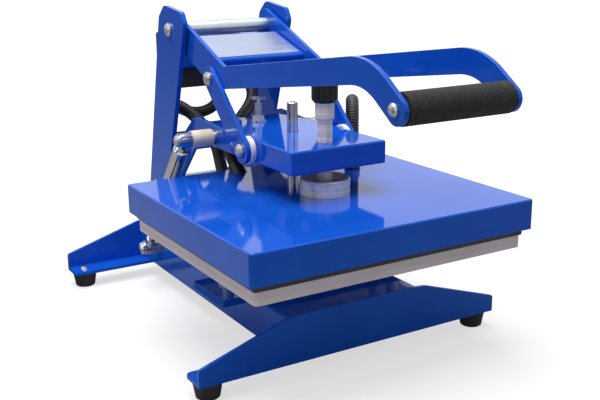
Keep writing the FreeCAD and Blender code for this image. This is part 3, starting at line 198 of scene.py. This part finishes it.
# %% Build the three hoses
def ribbed_hose(name, guide_points, radius, around=30):
    line = centre_line(name, guide_points)
    total = line_length(line)
    rings = round(total / RING_PITCH)
    stations = [((ring + share) * total / rings, height)
                for ring in range(rings) for share, height in RING_SHAPE] + [(total, 0.0)]
    corners, heights = [], []
    steps = walk(line, [distance for distance, height in stations])
    for (place, across, over), (distance, height) in zip(steps, stations):
        reach = radius - GROOVE * (1 - height)
        for turn in range(around):
            angle = 2 * math.pi * turn / around
            corners.append(place + reach * (math.cos(angle) * across + math.sin(angle) * over))
            heights.append(height)
    faces = tube_faces(len(stations), around)
    mesh = bpy.data.meshes.new(name)
    mesh.from_pydata(corners, [], faces)
    mesh.attributes.new("crest", "FLOAT", "POINT").data.foreach_set("value", heights)
    mesh.shade_smooth()
    hose = bpy.data.objects.new(name, mesh)
    scene.collection.objects.link(hose)
    print(name, "is", round(total * 1000), "mm long with", rings, "rings")
    return hose, line

heater_hose, heater_line = ribbed_hose("heater_hose", heater_points, HOSE_RADIUS)
sensor_hose, sensor_line = ribbed_hose("sensor_hose", sensor_points, HOSE_RADIUS)
hoop_hose, hoop_line = ribbed_hose("hoop_hose", hoop_points, HOOP_RADIUS)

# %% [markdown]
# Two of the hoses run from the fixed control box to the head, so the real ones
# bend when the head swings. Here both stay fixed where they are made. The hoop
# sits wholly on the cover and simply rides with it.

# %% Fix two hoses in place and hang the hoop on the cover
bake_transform(heater_hose)
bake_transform(sensor_hose)
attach(hoop_hose, "platen")
hoses = [
    (heater_hose, heater_line, heater_points[0], HOSE_RADIUS, "heater_conduit"),
    (sensor_hose, sensor_line, sensor_points[0], HOSE_RADIUS, "sensor_conduit"),
    (hoop_hose, hoop_line, hoop_points[0], HOOP_RADIUS, "cover_conduit")]
for hose, line, start, radius, node in hoses:
    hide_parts(node)
    line_length(line)
    2 * radius
    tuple(start)
    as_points(line)
print(len(hoses), "hoses hung")

# %% [markdown]
# ## Sums on shader sockets
#
# A finish changes a little from place to place. In the shader editor each sum
# is a Math node, which soon becomes hard to read. So one small class stands
# for a node's output, and + - * on it place the Math node for us.

# %% Arithmetic for shader sockets
class Level:
    """The output of one shader node. + - * on it add a Math node."""

    def __init__(self, board, socket):
        self.board, self.socket = board, socket

    def sum(self, operation, first, second):
        return self.board.add("ShaderNodeMath", {"operation": operation}, {0: first, 1: second})

    def __add__(self, other):
        return self.sum("ADD", self, other)

    def __sub__(self, other):
        return self.sum("SUBTRACT", self, other)

    def __rsub__(self, other):
        return self.sum("SUBTRACT", other, self)

    def __mul__(self, other):
        return self.sum("MULTIPLY", self, other)

    def larger(self, other):
        return self.sum("MAXIMUM", self, other)

    __radd__, __rmul__ = __add__, __mul__

# %% [markdown]
# A board is the sheet of nodes of one material, or of the room. Its `add`
# method makes any node: the settings first, then the values or links of its
# sockets, and it hands back the output that is wanted.

# %% The node board
class Board:
    def __init__(self, tree):
        self.tree = tree

    def add(self, kind, settings=None, sockets=None, out=0):
        node = self.tree.nodes.new(kind)
        for key, value in (settings or {}).items():
            if key == "stops":
                ends = node.color_ramp.elements
                ends[0].position, ends[1].position = value
            else:
                setattr(node, key, value)
        for key, value in (sockets or {}).items():
            if isinstance(value, Level):
                self.tree.links.new(value.socket, node.inputs[key])
            else:
                node.inputs[key].default_value = value
        return Level(self, node.outputs[out])

# %% [markdown]
# A finish is the board of one material. Values that are the same all over are
# set on the shader itself, and `feed` links what changes over the surface. The
# other methods are the few patterns that the finishes share. They all read
# Object coordinates, so a pattern stays put on its piece.

# %% A finish under construction
class Finish(Board):
    def __init__(self, name, values):
        self.material = bpy.data.materials.new(name)
        self.material.use_nodes = True
        super().__init__(self.material.node_tree)
        self.shader = self.tree.nodes["Principled BSDF"]
        for socket, value in values.items():
            self.shader.inputs[socket].default_value = value
        self.place = self.add("ShaderNodeTexCoord", out="Object")

    def feed(self, socket, level):
        self.tree.links.new(level.socket, self.shader.inputs[socket])

    def grain(self, scale, detail=3.0, stretch=(1, 1, 1)):
        where = self.add("ShaderNodeMapping", None, {"Vector": self.place, "Scale": stretch})
        return self.add("ShaderNodeTexNoise", None, {"Vector": where, "Scale": scale, "Detail": detail})

    def mask(self, level, low, high):
        return self.add("ShaderNodeValToRGB", {"stops": (low, high)}, {"Fac": level})

    def mixed(self, share, first, second):
        colours = {0: share, 6: (*first, 1), 7: (*second, 1)}
        return self.add("ShaderNodeMix", {"data_type": "RGBA"}, colours, out=2)

    def relief(self, height, depth):
        bump = {"Height": height, "Distance": depth, "Strength": 1.0}
        self.feed("Normal", self.add("ShaderNodeBump", None, bump))

finishes = {}
print("helpers ready")

# %% [markdown]
# ## Blue powder coat
#
# Every plate of the frame is sprayed with a dry powder that melts into a
# thick, glossy skin. Close up it has a faint orange peel, and at a low angle it
# mirrors the room. A Mix with a glossy shader could give that, but one shader
# does it too: its mirror is white at a low angle by itself, and a blue tint
# keeps the paint deep where it is seen face on. The peel goes into the bump.

# %% Blue powder coat
def powder_coat(name, deep, bright, gloss):
    coat = Finish(name, {"Roughness": gloss, "IOR": 1.5, "Specular Tint": (0.22, 0.50, 1.0, 1)})
    drift = coat.mask(coat.grain(9, 2), 0.35, 0.68)
    coat.feed("Base Color", coat.mixed(drift, deep, bright))
    peel = coat.grain(420, 2)
    dust = coat.mask(coat.grain(70, 4), 0.55, 0.8)
    coat.feed("Roughness", peel * 0.03 + dust * 0.05 + (gloss - 0.02))
    coat.relief(peel, 0.00002)
    return coat.material

finishes["blue_paint"] = powder_coat("blue_powder_coat", (0.005, 0.082, 0.53), (0.008, 0.098, 0.60), 0.06)
print("blue powder coat")

# %% [markdown]
# ## Bare metals
#
# Zinc-plated bolts are bright but cloudy. Turned steel carries fine rings
# from the lathe tool, all level, because its axis stands upright. Chrome on the
# guide pin and the gas springs is nearly a mirror. An image of scratches could
# be wrapped round them, but a noise that is stretched along the tool's path
# needs no unwrapping. The tube across the top has a clear, cooler zinc.

# %% Zinc, turned steel and chrome
def bright_metal(name, dull, bright, roughness, cloud, stretch=(1, 1, 1), lines=0.0, bare=1.0):
    metal = Finish(name, {"Metallic": bare, "Roughness": roughness})
    clouds = metal.grain(cloud, 4)
    streaks = metal.grain(260, 2, stretch)
    metal.feed("Base Color", metal.mixed(metal.mask(clouds * 0.4 + streaks * 0.6, 0.35, 0.65), dull, bright))
    metal.feed("Roughness", clouds * 0.10 + streaks * 0.08 + (roughness - 0.09))
    if lines:
        metal.relief(streaks, lines)
    return metal.material

finishes["zinc"] = bright_metal(
    "zinc_plate", (0.42, 0.42, 0.45), (0.60, 0.60, 0.62), 0.30, 160, lines=0.00002)
finishes["turned_steel"] = bright_metal(
    "turned_steel", (0.60, 0.56, 0.55), (0.94, 0.89, 0.88), 0.36, 60, (0.03, 0.03, 1.6), 0.0001, 0.35)
finishes["chrome"] = bright_metal(
    "hard_chrome", (0.46, 0.46, 0.49), (0.62, 0.62, 0.65), 0.12, 40, (1, 1, 0.05))
tube_zinc = bright_metal(
    "clear_zinc_tube", (0.46, 0.51, 0.53), (0.60, 0.66, 0.68), 0.34, 50, (0.05, 2, 2), 0.00001)
print("four bright metals")

# %% [markdown]
# ## Plates, pads, rubber and plastics
#
# The lower bed is a light alloy plate under a silicone sponge sheet, both of a
# pinkish grey tone. The heated plate wears a dark non-stick coating, and above
# it lies a fibre blanket. Moulded feet are dull, the knob and the switch have a
# soft shine, and the control box has a dry, sand-like black coat. All of these
# are even skins that differ only in colour, shine and the size of their grain,
# so one function makes them from a table.

# %% Even skins
def even_skin(name, dark, light, roughness, patch, pimple, depth):
    skin = Finish(name, {"Roughness": roughness})
    skin.feed("Base Color", skin.mixed(skin.mask(skin.grain(patch, 3), 0.3, 0.7), dark, light))
    fine = skin.grain(pimple, 3)
    skin.feed("Roughness", fine * 0.14 + (roughness - 0.07))
    skin.relief(fine, depth)
    return skin.material

skins = {  # name, dark, light, roughness, patches and grains per metre, grain depth in metres
    "pale_aluminium": ("bed_plate", (0.66, 0.60, 0.64), (0.76, 0.69, 0.73), 0.42, 14, 700, 0.00002),
    "silicone": ("silicone_sponge", (0.66, 0.60, 0.64), (0.76, 0.69, 0.73), 0.55, 18, 900, 0.00008),
    "heat_coating": (
        "non_stick_coating", (0.020, 0.014, 0.016), (0.034, 0.025, 0.027), 0.36, 20, 800, 0.00003),
    "blanket": ("fibre_blanket", (0.30, 0.25, 0.19), (0.44, 0.38, 0.30), 0.92, 60, 260, 0.0006),
    "rubber": ("moulded_rubber", (0.012, 0.012, 0.013), (0.024, 0.023, 0.024), 0.70, 50, 900, 0.00005),
    "black_plastic": ("black_moulding", (0.006, 0.006, 0.007), (0.011, 0.011, 0.012), 0.24, 40, 900, 0.00001),
    "black_steel": ("black_sand_coat", (0.008, 0.008, 0.009), (0.016, 0.016, 0.018), 0.44, 30, 1100, 0.00008),
    "nylon": ("white_nylon", (0.78, 0.79, 0.80), (0.88, 0.88, 0.88), 0.38, 60, 700, 0.00002),
    "cream_nylon": ("cream_nylon", (0.78, 0.67, 0.50), (0.88, 0.79, 0.63), 0.40, 90, 700, 0.00002),
    "conduit": ("gland_nylon", (0.009, 0.009, 0.010), (0.016, 0.016, 0.017), 0.36, 60, 900, 0.00002)}
for slot, values in skins.items():
    finishes[slot] = even_skin(*values)
print(len(skins), "even skins")

# %% [markdown]
# ## Foam, hose and the bright plate
#
# The handle sleeve is closed-cell foam: a skin full of tiny pits, which a
# Voronoi pattern gives better than noise does. The hose is duller in its
# grooves, and darker there as painted shade, so it reads the "crest" number
# stored on it. The blank plate on the handle is brushed from side to side.

# %% Foam, hose and the bright plate
def foam_skin():
    foam = Finish("foam_rubber", {"Roughness": 0.85})
    pits = foam.add("ShaderNodeTexVoronoi", {"feature": "F1"}, {"Vector": foam.place, "Scale": 620.0})
    patches = foam.mask(foam.grain(120, 4), 0.3, 0.7)
    foam.feed("Base Color", foam.mixed(patches, (0.006, 0.006, 0.007), (0.016, 0.016, 0.017)))
    foam.feed("Roughness", 1 - pits * 0.25)
    foam.relief(pits, 0.0004)
    return foam.material

def hose_skin():
    hose = Finish("ribbed_hose", {"Roughness": 0.4})
    crest = hose.add("ShaderNodeAttribute", {"attribute_name": "crest"}, out="Fac")
    # painted shade: the colour is darker in the grooves, where the rings would shade them
    hose.feed("Base Color", hose.mixed(crest, (0.008, 0.008, 0.008), (0.014, 0.014, 0.015)))
    hose.feed("Roughness", 0.62 - crest * 0.30 + hose.grain(300) * 0.1)
    hose.relief(hose.grain(900), 0.00003)
    return hose.material

def brushed_plate():
    plate = Finish("brushed_plate", {"Metallic": 0.85, "Roughness": 0.3})
    strokes = plate.grain(240, 3, (0.05, 1, 1))
    plate.feed("Base Color", plate.mixed(strokes, (0.36, 0.41, 0.57), (0.47, 0.52, 0.68)))
    plate.feed("Roughness", strokes * 0.2 + 0.25)
    plate.relief(strokes, 0.00002)
    return plate.material

finishes["foam"] = foam_skin()
finishes["bright_plate"] = brushed_plate()
hose_finish = hose_skin()
print(len(finishes) + 2, "finishes")

# %% Put the finishes on every part
def dress(piece, finish):
    piece.data.materials.clear()
    piece.data.materials.append(finish)

for node, part in frame["nodes"].items():
    dress(part, finishes[slot_of[node]])
dress(frame["nodes"]["pivot_tube"], tube_zinc)
for hose, *others in hoses:
    dress(hose, hose_finish)
print("dressed", len(frame["nodes"]), "parts and", len(hoses), "hoses")

# %% [markdown]
# ## Softened plates
#
# No folded or cut plate has a truly sharp edge: the powder coat builds up
# there into a small radius, and that radius is what draws the thin bright
# lines along a painted frame. The engineering model leaves such edges sharp.
# So each plate is copied, its loose triangles are joined into whole faces, and
# a small Bevel goes on every edge sharper than 30 degrees. Weighted normals
# keep the wide faces flat next to it.

# %% Join a copy and round its edges
EDGE_RADIUS = 0.0007
WELD, LEVEL_ENOUGH = 0.000002, math.radians(0.5)
CREASE, SMOOTH = math.radians(30), math.radians(40)

def softened(node, body, radius=EDGE_RADIUS):
    piece = bpy.data.objects.new("soft_" + node, frame["nodes"][node].data.copy())
    scene.collection.objects.link(piece)
    bpy.ops.object.select_all(action="DESELECT")
    piece.select_set(True)
    bpy.context.view_layer.objects.active = piece
    bpy.ops.mesh.customdata_custom_splitnormals_clear()
    bpy.ops.object.mode_set(mode="EDIT")
    bpy.ops.mesh.select_all(action="SELECT")
    bpy.ops.mesh.remove_doubles(threshold=WELD)
    bpy.ops.mesh.dissolve_limited(angle_limit=LEVEL_ENOUGH)
    bpy.ops.object.mode_set(mode="OBJECT")
    edge = piece.modifiers.new("edge", "BEVEL")
    edge.width, edge.segments = radius, 2
    edge.limit_method, edge.angle_limit = "ANGLE", CREASE
    bpy.ops.object.modifier_apply(modifier="edge")
    bpy.ops.object.shade_smooth_by_angle(angle=SMOOTH)
    flat = piece.modifiers.new("flat", "WEIGHTED_NORMAL")
    flat.keep_sharp = True
    bpy.ops.object.modifier_apply(modifier="flat")
    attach(piece, body)
    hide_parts(node)
    return piece

# %% Soften the plates, each on its body
plates = {
    "front_foot": "root", "rear_foot": "root", "base_channel": "root", "platen_carrier": "root",
    "left_upright": "root", "right_upright": "root", "rear_brace": "root", "box_bracket": "root",
    "control_box": "root", "box_lid": "root", "lower_platen": "root", "head_arm": "head",
    "platen_cover": "platen", "heat_platen": "platen", "left_lever_plate": "lever",
    "right_lever_plate": "lever", "lever_web": "lever", "name_plate": "lever",
    "left_link": "links", "right_link": "links"}
own_radius = {
    "platen_cover": 0.0012, "head_arm": 0.0010, "name_plate": 0.0003,
    "box_lid": 0.0004, "heat_platen": 0.0005, "lower_platen": 0.0003}
for node, body in plates.items():
    softened(node, body, own_radius.get(node, EDGE_RADIUS))
print(len(plates), "plates softened")

# %% [markdown]
# ## The silicone sheet and the fibre blanket
#
# The sheet is firm sponge rubber, cut square, so the plates' softening suits it
# too. The blanket is a loose mat. Cloth could be simulated for it, but it lies
# flat in its housing, so its faces are only divided and pushed in and out by a
# cloud pattern.

# %% Make the silicone sheet
sheet = softened("silicone_pad", "root", 0.0005)
print("sheet corners:", len(sheet.data.vertices))

# %% Make the fibre blanket
ROOM_FOR_TUFTS = Vector((0.004, 0.004, 0.002))
MAT_EDGE, TUFT_SPREAD, TUFT_HEIGHT = 0.006, 0.012, 0.0012

def fibre_mat():
    low, high = (Vector(corner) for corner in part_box("insulation_blanket"))
    bpy.ops.object.select_all(action="DESELECT")
    bpy.ops.mesh.primitive_cube_add(size=1, location=(low + high) / 2, scale=high - low - ROOM_FOR_TUFTS)
    mat = bpy.context.object
    mat.name = "fibre_mat"
    bpy.ops.object.transform_apply(location=True, rotation=True, scale=True)
    bpy.ops.object.mode_set(mode="EDIT")
    bpy.ops.mesh.bevel(offset=MAT_EDGE, segments=3, affect="EDGES")
    bpy.ops.mesh.select_all(action="SELECT")
    bpy.ops.mesh.subdivide(number_cuts=20)
    bpy.ops.object.mode_set(mode="OBJECT")
    tufts = bpy.data.textures.new("tufts", "CLOUDS")
    tufts.noise_scale = TUFT_SPREAD
    push = mat.modifiers.new("push", "DISPLACE")
    push.texture, push.strength, push.mid_level = tufts, TUFT_HEIGHT, 0.6
    bpy.ops.object.modifier_apply(modifier="push")
    bpy.ops.object.shade_smooth()
    dress(mat, finishes["blanket"])
    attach(mat, "platen")
    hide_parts("insulation_blanket")
    return mat

blanket = fibre_mat()
print("blanket corners:", len(blanket.data.vertices))

# %% [markdown]
# ## The foam sleeve
#
# The sleeve is a thick foam tube pushed over the handle rod. A cylinder gives
# its start. Its ends are inset down to the rod and pressed in, as cut foam is
# where it hugs the metal, and a bevel rounds the outer rim.

# %% Make the foam sleeve
ROD_HOLE, PRESSED_IN, SEAT_DEPTH, RIM_RADIUS = 0.0084, 0.0015, 0.001, 0.0026

def foam_sleeve():
    low, high = (Vector(corner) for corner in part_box("foam_grip"))
    middle, reach = (low + high) / 2, (high.z - low.z) / 2
    bpy.ops.object.select_all(action="DESELECT")
    bpy.ops.mesh.primitive_cylinder_add(vertices=64, radius=reach, depth=high.x - low.x,
                                        location=middle, rotation=(0, math.pi / 2, 0))
    sleeve = bpy.context.object
    sleeve.name = "foam_sleeve"
    bpy.ops.object.transform_apply(location=True, rotation=True, scale=True)
    for end in (-1, 1):
        bpy.ops.object.mode_set(mode="EDIT")
        bpy.ops.mesh.select_mode(type="FACE")
        bpy.ops.mesh.select_all(action="DESELECT")
        bpy.ops.object.mode_set(mode="OBJECT")
        for face in sleeve.data.polygons:
            face.select = face.normal.x * end > 0.9
        bpy.ops.object.mode_set(mode="EDIT")
        bpy.ops.mesh.inset(thickness=reach - ROD_HOLE)
        bpy.ops.transform.translate(value=(-end * PRESSED_IN, 0, 0))
        bpy.ops.mesh.extrude_region_move(TRANSFORM_OT_translate={"value": (-end * SEAT_DEPTH, 0, 0)})
        bpy.ops.object.mode_set(mode="OBJECT")
    rim = sleeve.modifiers.new("rim", "BEVEL")
    rim.width, rim.segments = RIM_RADIUS, 4
    rim.limit_method, rim.angle_limit = "ANGLE", math.radians(50)
    bpy.ops.object.modifier_apply(modifier="rim")
    bpy.ops.object.shade_smooth_by_angle(angle=SMOOTH)
    dress(sleeve, finishes["foam"])
    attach(sleeve, "lever")
    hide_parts("foam_grip")
    return sleeve

sleeve = foam_sleeve()
print("sleeve faces:", len(sleeve.data.polygons))

# %% [markdown]
# ## Turned pieces
#
# A lathe shapes a bar by following one outline round and round. Blender's Spin
# does the same: a single corner is pulled along the outline, and the open line
# is spun about the axis. The doubled seam is merged and the faces are turned
# outwards.

# %% Turn a piece from its outline
def turned(name, outline, axis_y, steps=64):
    bpy.ops.object.select_all(action="DESELECT")
    bpy.ops.mesh.primitive_plane_add(size=0.001, location=(0, 0, 0))
    piece = bpy.context.object
    piece.name = name
    bpy.ops.object.mode_set(mode="EDIT")
    bpy.ops.mesh.select_mode(type="VERT")
    bpy.ops.mesh.select_all(action="SELECT")
    bpy.ops.mesh.merge(type="CENTER")
    bpy.ops.transform.translate(value=(outline[0][0], axis_y, outline[0][1]))
    for (r0, z0), (r1, z1) in zip(outline, outline[1:]):
        bpy.ops.mesh.extrude_region_move(TRANSFORM_OT_translate={"value": (r1 - r0, 0, z1 - z0)})
    bpy.ops.mesh.select_all(action="SELECT")
    bpy.ops.mesh.spin(steps=steps, angle=2 * math.pi, center=(0, axis_y, 0), axis=(0, 0, 1))
    bpy.ops.mesh.select_all(action="SELECT")
    bpy.ops.mesh.remove_doubles(threshold=0.000005)
    bpy.ops.mesh.normals_make_consistent(inside=False)
    bpy.ops.object.mode_set(mode="OBJECT")
    bpy.ops.object.shade_smooth_by_angle(angle=math.radians(35))
    return piece

# %% [markdown]
# The pressure spindle is a fine screw with a bright collar on top. The thread
# is so fine that its helix cannot be told from plain rings, so the outline
# goes in and out by just under half a millimetre at every turn of the thread.

# %% The threaded spindle
CREST_RADIUS, ROOT_RADIUS, THREAD_PITCH = 0.0097, 0.00925, 0.0017
THREAD_START, THREAD_END = 0.2130, 0.2985

def spindle_outline():
    """The radius and height of each corner: foot, thread, then the collar with its groove."""
    outline = [(0.0, 0.2105), (0.0085, 0.2105), (0.0095, 0.2115)]
    height = THREAD_START
    while height < THREAD_END:
        outline += [(CREST_RADIUS, height), (CREST_RADIUS, height + 0.0006),
                    (ROOT_RADIUS, height + 0.0010), (ROOT_RADIUS, height + 0.0013)]
        height += THREAD_PITCH
    outline += [(0.0095, 0.3008), (0.0108, 0.3008), (0.0122, 0.3024), (0.0122, 0.3095), (0.0118, 0.3099),
                (0.0118, 0.3104), (0.0122, 0.3108), (0.0122, 0.3222), (0.0115, 0.3230), (0.0, 0.3230)]
    return outline

spindle_low, spindle_high = (Vector(corner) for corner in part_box("spindle"))
screw = turned("threaded_spindle", spindle_outline(), (spindle_low.y + spindle_high.y) / 2)
dress(screw, finishes["turned_steel"])
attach(screw, "spindle")
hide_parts("spindle")
print("spindle faces:", len(screw.data.polygons))

# %% [markdown]
# ## Marks round the dial
#
# The heat dial on the back of the control box turns over a ring of short white
# ticks, printed through a screen. Real ink stands a hair above the paint, so
# each tick is a small raised bar with rounded edges, made upright above the
# dial and then turned to its place, and every third one is longer. A last bar
# is the dial's pointer, which rests at the last tick.

# %% Make an inked bar
ink = even_skin("white_screen_ink", (0.70, 0.70, 0.70), (0.80, 0.80, 0.80), 0.5, 90, 900, 0.00001)
INK_DEPTH, TICK_WIDTH, LONG_TICK, SHORT_TICK = 0.0004, 0.0008, 0.0032, 0.0020
POINTER_WIDTH, POINTER_LENGTH = 0.0012, 0.0080
TICK_RING, POINTER_OUT = 0.0172, 0.0085  # from the dial's middle
FIRST_TICK, TICK_STEP, LAST_TICK = -135, 30, 135  # in degrees

def ink_bar(name, middle, size, degrees, pivot, body):
    bpy.ops.object.select_all(action="DESELECT")
    bpy.ops.mesh.primitive_cube_add(size=1, location=middle, scale=size)
    bar = bpy.context.object
    bar.name = name
    bpy.ops.object.transform_apply(location=True, rotation=True, scale=True)
    bpy.ops.object.mode_set(mode="EDIT")
    bpy.ops.mesh.select_all(action="SELECT")
    bpy.ops.mesh.bevel(offset=min(size) * 0.3, segments=2, affect="EDGES")
    bpy.ops.mesh.select_all(action="SELECT")
    bpy.ops.transform.rotate(value=math.radians(degrees), orient_axis="Y", center_override=pivot)
    bpy.ops.object.mode_set(mode="OBJECT")
    bpy.ops.object.shade_smooth_by_angle(angle=SMOOTH)
    dress(bar, ink)
    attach(bar, body)

# %% Set the ticks and the pointer
lid_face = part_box("box_lid")[1][1]
dial_low, dial_high = (Vector(corner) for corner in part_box("heat_dial"))
dial_middle = (dial_low + dial_high) / 2
for place in range(10):
    length = LONG_TICK if place % 3 == 0 else SHORT_TICK
    ink_bar(f"dial_tick_{place}",
            (dial_middle.x, lid_face + 0.0001, dial_middle.z + TICK_RING + length / 2),
            (TICK_WIDTH, INK_DEPTH, length), FIRST_TICK + TICK_STEP * place,
            (dial_middle.x, lid_face, dial_middle.z), "root")
ink_bar("dial_pointer", (dial_middle.x, dial_high.y + 0.00005, dial_middle.z + POINTER_OUT),
        (POINTER_WIDTH, INK_DEPTH, POINTER_LENGTH), LAST_TICK,
        (dial_middle.x, dial_high.y, dial_middle.z), "dial")
print("ten ticks and a pointer")

# %% [markdown]
# ## The studio
#
# The floor is plain and pale and keeps the soft shadow. To the lens and in
# reflections the room is white, while the light that it sheds on the press is
# weaker and the same from every side. A Light Path node tells these rays apart.
# Brighter light could whiten the background too, but it would bleach the paint.

# %% The white room
SOFT_SKY = 0.32

def rays(board, kind):
    return board.add("ShaderNodeLightPath", out=f"Is {kind} Ray")

room = bpy.data.worlds.new("white_room")
room.use_nodes = True
scene.world = room
air = Board(room.node_tree)
glow = room.node_tree.nodes["Background"]
glow.inputs["Color"].default_value = (1, 1, 1, 1)
shown = rays(air, "Camera").larger(rays(air, "Glossy")).larger(rays(air, "Transmission"))
brightness = shown * (1 - SOFT_SKY) + SOFT_SKY
room.node_tree.links.new(brightness.socket, glow.inputs["Strength"])
print("white to the lens,", SOFT_SKY, "as light")

# %% [markdown]
# The floor's own colour shows the shadow. A glow that the lens sees lifts it
# towards white, weakest within 0.4 metres, where the shadow lies, and full from
# 1.7 metres on. In reflections it is hardly lifted, so that the paint's upright
# faces stay deep.

# %% The pale floor
def pale_floor():
    paint = Finish("pale_floor", {
        "Base Color": (0.40, 0.40, 0.41, 1), "Roughness": 0.9,
        "Specular IOR Level": 0.0, "Emission Color": (1, 1, 1, 1)})
    reach = paint.add("ShaderNodeVectorMath", {"operation": "LENGTH"}, {0: paint.place}, out="Value")
    lift = paint.add("ShaderNodeMapRange", {"interpolation_type": "SMOOTHSTEP"}, {
        "Value": reach, "From Min": 0.4, "From Max": 1.7, "To Min": 0.64, "To Max": 1.0})
    paint.feed("Emission Strength", (rays(paint, "Camera") + rays(paint, "Glossy") * 0.05) * lift)
    return paint.material

bpy.ops.object.select_all(action="DESELECT")
bpy.ops.mesh.primitive_plane_add(size=24, location=(0, 0, 0))
floor = bpy.context.object
floor.name = "studio_floor"
dress(floor, pale_floor())
print("floor laid")

# %% [markdown]
# A wide lamp overhead gives the shapes their light and the soft shadow. A weak
# one on the left lifts the faces that look that way. The plain view transform
# keeps the colours as they are given.

# %% Hang the lamps
def soft_lamp(name, place, target, size, power):
    data = bpy.data.lights.new(name, "AREA")
    data.size, data.energy = size, power
    lamp = bpy.data.objects.new(name, data)
    scene.collection.objects.link(lamp)
    lamp.location = place
    lamp.rotation_euler = (Vector(target) - Vector(place)).to_track_quat("-Z", "Y").to_euler()
    print(name, power, "W")

soft_lamp("top_softbox", (-0.2, 0.1, 2.0), (0, 0.05, 0.2), 1.6, 48)
soft_lamp("left_softbox", (-1.9, 0.1, 1.0), (0, 0, 0.2), 1.0, 2.5)
scene.view_settings.view_transform = "Standard"

# %% [markdown]
# Chrome in a white room looks like white plastic. Narrow black cards, called
# flags, are set round the press, so that each bright tube shows a dark streak
# along its length. They are only mirrored, and neither shade the press nor show
# to the lens.

# %% Set black flags round the press
black_card = Finish("black_card", {"Base Color": (0.01, 0.01, 0.01, 1), "Roughness": 1.0}).material
flags = {  # middle, tilt and turn in radians, width and height
    "left_flag": ((-0.62, -0.15, 0.35), (math.pi / 2, 0, 1.33), (0.17, 0.7, 1)),
    "right_flag": ((0.28, -0.95, 0.35), (math.pi / 2, 0, -0.28), (0.17, 0.7, 1)),
    "floor_flag": ((-0.245, 0.18, 0.001), (0, 0, 0), (0.06, 0.5, 1))}
for name, (middle, turn, size) in flags.items():
    bpy.ops.object.select_all(action="DESELECT")
    bpy.ops.mesh.primitive_plane_add(size=1, location=middle, rotation=turn)
    flag = bpy.context.object
    flag.name, flag.scale = name, size
    dress(flag, black_card)
    flag.visible_camera = flag.visible_diffuse = False
    flag.visible_shadow = flag.visible_transmission = False
print(len(flags), "flags")
